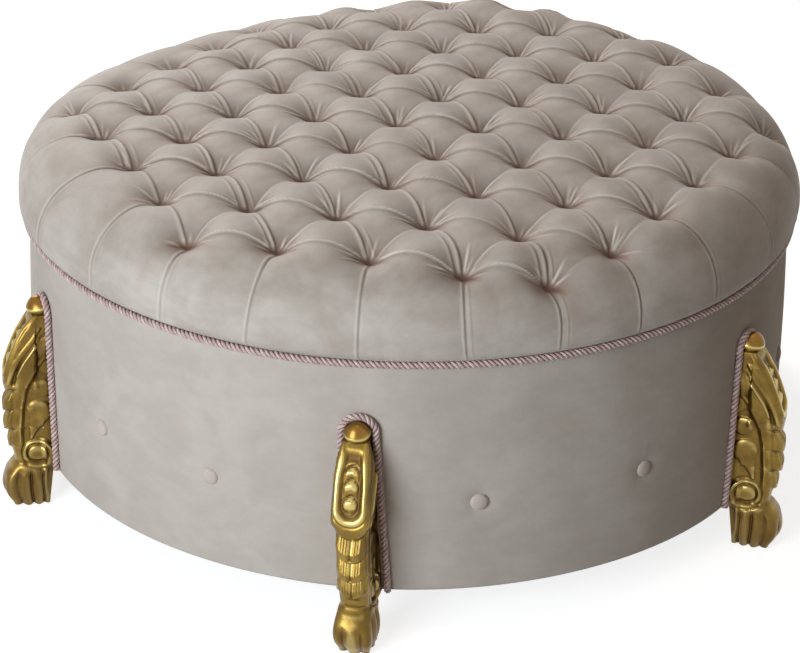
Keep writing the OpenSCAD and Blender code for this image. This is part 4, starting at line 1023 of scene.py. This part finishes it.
def lappet_relief(nx, y, share):
    """Lappets: each has a centre split that opens downwards, fine flutes beside it and a shadow
    line under the one above."""
    relief, facing = 0, smooth(nx, 0.15, 0.5)
    for low, high in LAPPET_SHARES:
        h = (share - low) / (high - low)
        tier = plateau(h, 0.0, 0.12, 0.90, 1.0) * facing
        relief = relief - 2.6 * bump(y / (0.7 + 1.6 * (1 - smooth(h, 0.0, 0.6))), 1.0) * tier
        for place, cut in LAPPET_FLUTES:
            relief = relief - cut * bump(np.abs(y) - place, 0.8) * smooth(h, 0.22, 0.42) * tier
        relief = relief - 1.5 * bump(h - 0.985, 0.05) * facing
    return relief


def foot_relief(x, y, z, share):
    """Shell foot: rounded flutes between grooves that fade towards the top, before a plain web."""
    way = np.arctan2(y, x - 0.42 * LEG_REACH)
    flute = np.abs(np.cos(way * math.pi / FLUTE_PITCH))
    shell = smooth(x, 18, 23)
    high = 0.05 * smooth(np.abs(way), 0.25, 0.9)
    ends = 1 - smooth(share, 0.10 + high, 0.165 + 0.6 * high)
    toe = 1 - smooth(share, 0.010, 0.040)
    cut = (4.6 * (1 - flute ** 0.85) * ends + 1.6 * toe * (1 - flute)) * (1 - smooth(share, 0.196, 0.222))
    web = np.clip(np.abs(y) - 15.5, 0, None) * (1 - smooth(z, 46, 58))
    return -(cut + 1.8 * bump(share - 0.212, 0.011)) * shell - web * (1 - shell)


def leg_skin():
    """A leg in its own frame, drawn towards +X from the wall's top radius: rings like the part's
    source has, from the back corner on one side round the front to the other, moved in along
    their normals by the carving. Returns points, quads, caps and masks."""
    level_z, level_x, level_w, level_dip = leg_levels()
    rows, sides, front, corner = 250, 66, 66, 0.16
    z0 = np.linspace(level_z[0], level_z[-1], rows)
    reach, width, dip = (np.interp(z0, level_z, v) for v in (level_x, level_w, level_dip))
    window = np.ones(11) / 11
    for _ in range(2):
        reach, width = (np.where(z0 < 54, np.convolve(np.pad(v, 5, mode="edge"), window, "valid"), v)
                        for v in (reach, width))
    back = np.where(z0 < WALL_BOTTOM, FOOT_INSET + (WALL_FLARE - FOOT_INSET) * z0 / WALL_BOTTOM,
                    wall_at(z0) - WALL_R - 0.4)
    width = width * (1 + 0.11 * smooth(z0, 150, 176))
    # The back stays clear of the ropes, which run up from either side of the middle to the loop
    rise = np.clip((z0 - WALL_BOTTOM) / (LOOP_Z - WALL_BOTTOM), 0, 1)
    cord_half = ROPE_ASIDE + (LOOP_R - ROPE_ASIDE) * rise
    back_w = np.minimum(width + 6 * plateau(z0, 22, 56, 70, 150), cord_half - CORD_D / 2 - 1.4)
    middle = np.maximum(back + 0.5, np.minimum(WALL_FLARE + CORD_D + 0.6, reach - width / 2))
    flat = smooth(z0, 158, 176)
    depth = np.minimum((0.9 - 0.36 * flat) * width, reach - middle - 0.5)
    power = (0.72 - 0.22 * flat)[:, None]
    a = np.linspace(-math.pi / 2, math.pi / 2, front + 1)
    ca = np.clip(np.cos(a), 0, 1)[None] ** power
    sa = np.sign(a)[None] * np.abs(np.sin(a))[None] ** power
    t = np.linspace(0, 1, sides, endpoint=False)[None]
    back, middle, centre, depth, width, back_w = (
        v[:, None] for v in (back, middle, reach - depth, depth, width, back_w))
    flank_x = np.where(t < corner, back + (middle - back) * t / corner,
                       middle + (centre - middle) * (t - corner) / (1 - corner))
    flank_y = back_w + (width - back_w) * smooth(t, 0.10, 0.34)
    x = np.concatenate([flank_x, centre + depth * ca, flank_x[:, ::-1]], 1)
    y = np.concatenate([-flank_y, width * sa, flank_y[:, ::-1]], 1)
    z = z0[:, None] - dip[:, None] * np.pad(ca * (1 - sa ** 2), [(0, 0), (sides, sides)])
    cols = x.shape[1]

    # Normals of the plain rings, across the leg only
    dx, dy = np.gradient(x, axis=1), np.gradient(y, axis=1)
    size = np.maximum(np.hypot(dx, dy), 1e-6)
    nx, ny = dy / size, -dx / size
    outward = np.sign((nx * (x - 30) + ny * y).sum())
    nx, ny = nx * outward, ny * outward

    share = z0[:, None] / LEG_H
    stem = plateau(z, 44, 52, 238, 250) * smooth(x - back, 0.3, 3.0)
    relief = side_relief(x, z) * smooth(np.abs(ny), 0.25, 0.70) * stem
    relief = relief + front_relief(y, z) * smooth(nx, 0.30, 0.70) * smooth(z0[:, None], 160, 168)
    relief = relief + lappet_relief(nx, y, share) + foot_relief(x, y, z, share)
    carved_y = y + ny * relief
    carved_y = np.where(np.sign(carved_y) * np.sign(y) < 0, 0, carved_y)
    carved_x = np.maximum(x + nx * relief, np.where(z > WALL_BOTTOM, wall_at(z) - WALL_R + 0.3, -1e9))
    soft = blur(relief, 2, 5)
    # Gilt masks: painted shade in the carving's recesses, painted highlights on its raised parts, and painted
    # shade on the side faces, most near the wall
    masks = {"cavity": np.clip((soft - relief) / 2.2, 0, 1), "edge": np.clip((relief - soft) / 1.8, 0, 1),
             "side_shade": smooth(np.abs(ny), 0.4, 0.9) * (0.55 + 0.45 * smooth(-x, -52, -8))}
    points = np.stack([carved_x + WALL_R, carved_y, z], -1).reshape(-1, 3)
    hubs = [[WALL_R + 45, 0, level_z[0]], [WALL_R + 12, 0, level_z[-1]]]
    caps = np.concatenate([fan(np.arange(cols)[::-1], rows * cols),
                           fan(np.arange((rows - 1) * cols, rows * cols), rows * cols + 1)])
    return np.concatenate([points, hubs]), grid_faces(rows, cols, closed_cols=True), caps, masks


# The knob's outline about its axis, from its foot up to its rim and on to its crown
KNOB_FOOT = [(0.02, -14, 1), (7.6, -13, 1), (9.6, -10, 1), (12.6, -7.0, 1), (14.8, -3.2, 1), (15.2, 0, 1)]
KNOB_HEAD = [(14.9, 1.2, 1), (13.4, 3.9, 1), (11.0, 7.0, 1), (7.9, 10.0, 1), (4.2, 12.3, 1), (0.02, 13.1, 1)]
KNOB_OUT, KNOB_Z, KNOB_LEAN = 13.0, 262.5, 0.20


def knob_skin(first):
    """The knob: a rounded cap over a rim with a rounded underside, a revolve that leans out from
    the wall on a short neck. Returns points, quads and masks."""
    rows, cols = 60, 56
    outline = np.concatenate([spline(KNOB_FOOT, rows // 2), spline(KNOB_HEAD, rows // 2)])
    r, h = np.clip(outline[:, :1], 0.02, None), np.repeat(outline[:, 1:2], cols, 1)
    a = circle(cols)[None]
    x, z = turned(r * np.cos(a), h, -KNOB_LEAN)
    points = np.stack([WALL_R + KNOB_OUT + x, r * np.sin(a), KNOB_Z + z], -1)
    wall_x = np.sqrt(np.maximum((wall_at(points[..., 2]) + 0.4) ** 2 - points[..., 1] ** 2, 0))
    points[..., 0] = np.maximum(points[..., 0], wall_x)
    # Painted shade under the knob at its neck, a painted highlight along its rim, and its orange-brown top
    masks = {"cavity": 0.9 * bump(h + 11, 2.4) * (r < 11), "edge": 0.8 * bump(h - 0.4, 1.5),
             "cap": smooth(h, 2.5, 7)}
    return points.reshape(-1, 3), grid_faces(rows, cols, closed_cols=True, first=first), masks


def leg_and_knob():
    """Points, faces and masks of a leg with its knob, which all six legs share."""
    leg, quads, caps, on_leg = leg_skin()
    knob, knob_quads, on_knob = knob_skin(len(leg))
    masks = {key: np.concatenate([on_leg.get(key, np.zeros(len(leg) - 2)).ravel(), [0, 0],
                                  on_knob.get(key, np.zeros(len(knob))).ravel()])
             for key in ("cavity", "edge", "side_shade", "cap")}
    return np.concatenate([leg, knob]), [np.concatenate([quads, knob_quads]), caps], masks


LEG_POINTS, LEG_FACES, LEG_MASKS = leg_and_knob()


def carved_leg(number, turn):
    """One leg in its place. Its face turns about a line at the wall, and its back stays there."""
    face, aside, lift = LEG_SETTING[number - 1][:3]
    slope = math.tan(math.radians(face))
    x, y, z = LEG_POINTS.T
    out = np.clip(x - WALL_R - 8, 0, None)
    y = y + out * slope + leaning(z, aside)
    x = x - y * slope * np.clip(out / 30, 0, 1)
    points = to_place(np.stack([x, y, z + lift * smooth(z, 8, 95)], -1), turn)
    piece = make_mesh(f"carved_leg_{number}", points, LEG_FACES, attributes=LEG_MASKS)
    finish_piece(piece, "gilt", f"leg_{number}")


for number, turn in enumerate(LEG_TURNS, 1):
    carved_leg(number, turn)


# Stage, light and camera
def seen_directly(nodes):
    """1 for a ray from the camera, a mirror or glass, 0 for one that only carries light."""
    camera, mirror, glass = (nodes.add("ShaderNodeLightPath", output=f"Is {kind} Ray")
                             for kind in ("Camera", "Glossy", "Transmission"))
    return camera.most(mirror).most(glass)


def studio_floor():
    """A wide pale floor, white to the eye, that still takes the stool's soft shadow."""
    f = Finish("floor", roughness=0.95, specular_ior_level=0.0, emission_strength=0.80)
    f.feed(base_color=f.blend(f.noise(900, detail=1.0), (190, 190, 190), (194, 194, 194)),
           emission_color=f.blend(seen_directly(f), (0, 0, 0), (255, 255, 255)))
    size = 12000
    points = [[-size, -size, 0], [size, -size, 0], [size, size, 0], [-size, size, 0]]
    floor = make_mesh("studio_floor", points, [np.array([[0, 1, 2, 3]])])
    floor.data.materials.append(f.material)


def softbox(name, azimuth, elevation, distance, size, watts, tint):
    """A square lamp that looks at the stool's middle. Azimuth runs from the front towards +X."""
    lamp = bpy.data.lights.new(name, "AREA")
    lamp.size, lamp.energy, lamp.color = size, watts, tint
    holder = bpy.data.objects.new(name, lamp)
    a, e = math.radians(azimuth), math.radians(elevation)
    away = Vector((math.sin(a) * math.cos(e), -math.cos(a) * math.cos(e), math.sin(e)))
    holder.location = away * distance + Vector((0, 0, 0.25))
    holder.rotation_euler = away.to_track_quat("Z", "Y").to_euler()
    bpy.context.scene.collection.objects.link(holder)


def studio_world():
    """Soft warm light all round, and a white background wherever a ray sees it directly."""
    world = bpy.data.worlds.new("studio")
    bpy.context.scene.world = world
    world.use_nodes = True
    nodes = Nodes(world.node_tree)
    back, out = (next(n for n in nodes.tree.nodes if n.type == kind)
                 for kind in ("BACKGROUND", "OUTPUT_WORLD"))
    nodes.connect(back.inputs["Color"], (*rgb(255, 222, 186), 1.0))
    nodes.connect(back.inputs["Strength"], 0.12)
    white = nodes.add("ShaderNodeBackground", inputs={"Color": (1, 1, 1, 1), "Strength": 1.0})
    nodes.connect(out.inputs[0], nodes.add("ShaderNodeMixShader", inputs={
        0: seen_directly(nodes), 1: Wire(nodes, back.outputs[0]), 2: white}))


def photo_camera():
    """The photograph's camera: where it stands, its pitch, yaw and roll, and its focal length in
    pixels of a picture 800 pixels wide."""
    azimuth, distance, height = math.radians(6), 2.4726, 1.4285
    pitch, yaw, roll, focal = 0.4811, -0.0035, 0.0135, 2101.3
    heading = yaw - azimuth
    ahead = Vector((math.sin(heading) * math.cos(pitch), math.cos(heading) * math.cos(pitch),
                    -math.sin(pitch)))
    right = ahead.cross(Vector((0, 0, 1))).normalized()
    up = right.cross(ahead)
    right, up = math.cos(roll) * right + math.sin(roll) * up, -math.sin(roll) * right + math.cos(roll) * up
    data = bpy.data.cameras.new("photo_camera")
    data.sensor_width = 36.0
    data.lens = focal * data.sensor_width / 800
    data.clip_start, data.clip_end = 0.05, 60
    camera = bpy.data.objects.new("photo_camera", data)
    place = Vector((distance * math.sin(azimuth), -distance * math.cos(azimuth), height))
    camera.matrix_world = Matrix.Translation(place) @ Matrix((right, up, -ahead)).transposed().to_4x4()
    bpy.context.scene.collection.objects.link(camera)
    bpy.context.scene.camera = camera


studio_floor()
softbox("key_light", -28, 16, 2.9, 1.4, 62, (0.86, 0.94, 1.0))
softbox("back_light", -150, 32, 4.0, 1.9, 86, (1.0, 0.955, 0.93))
softbox("top_light", 30, 82, 3.6, 1.3, 13, (1.0, 0.97, 0.93))
studio_world()
photo_camera()
bpy.context.scene.view_settings.view_transform = "Standard"
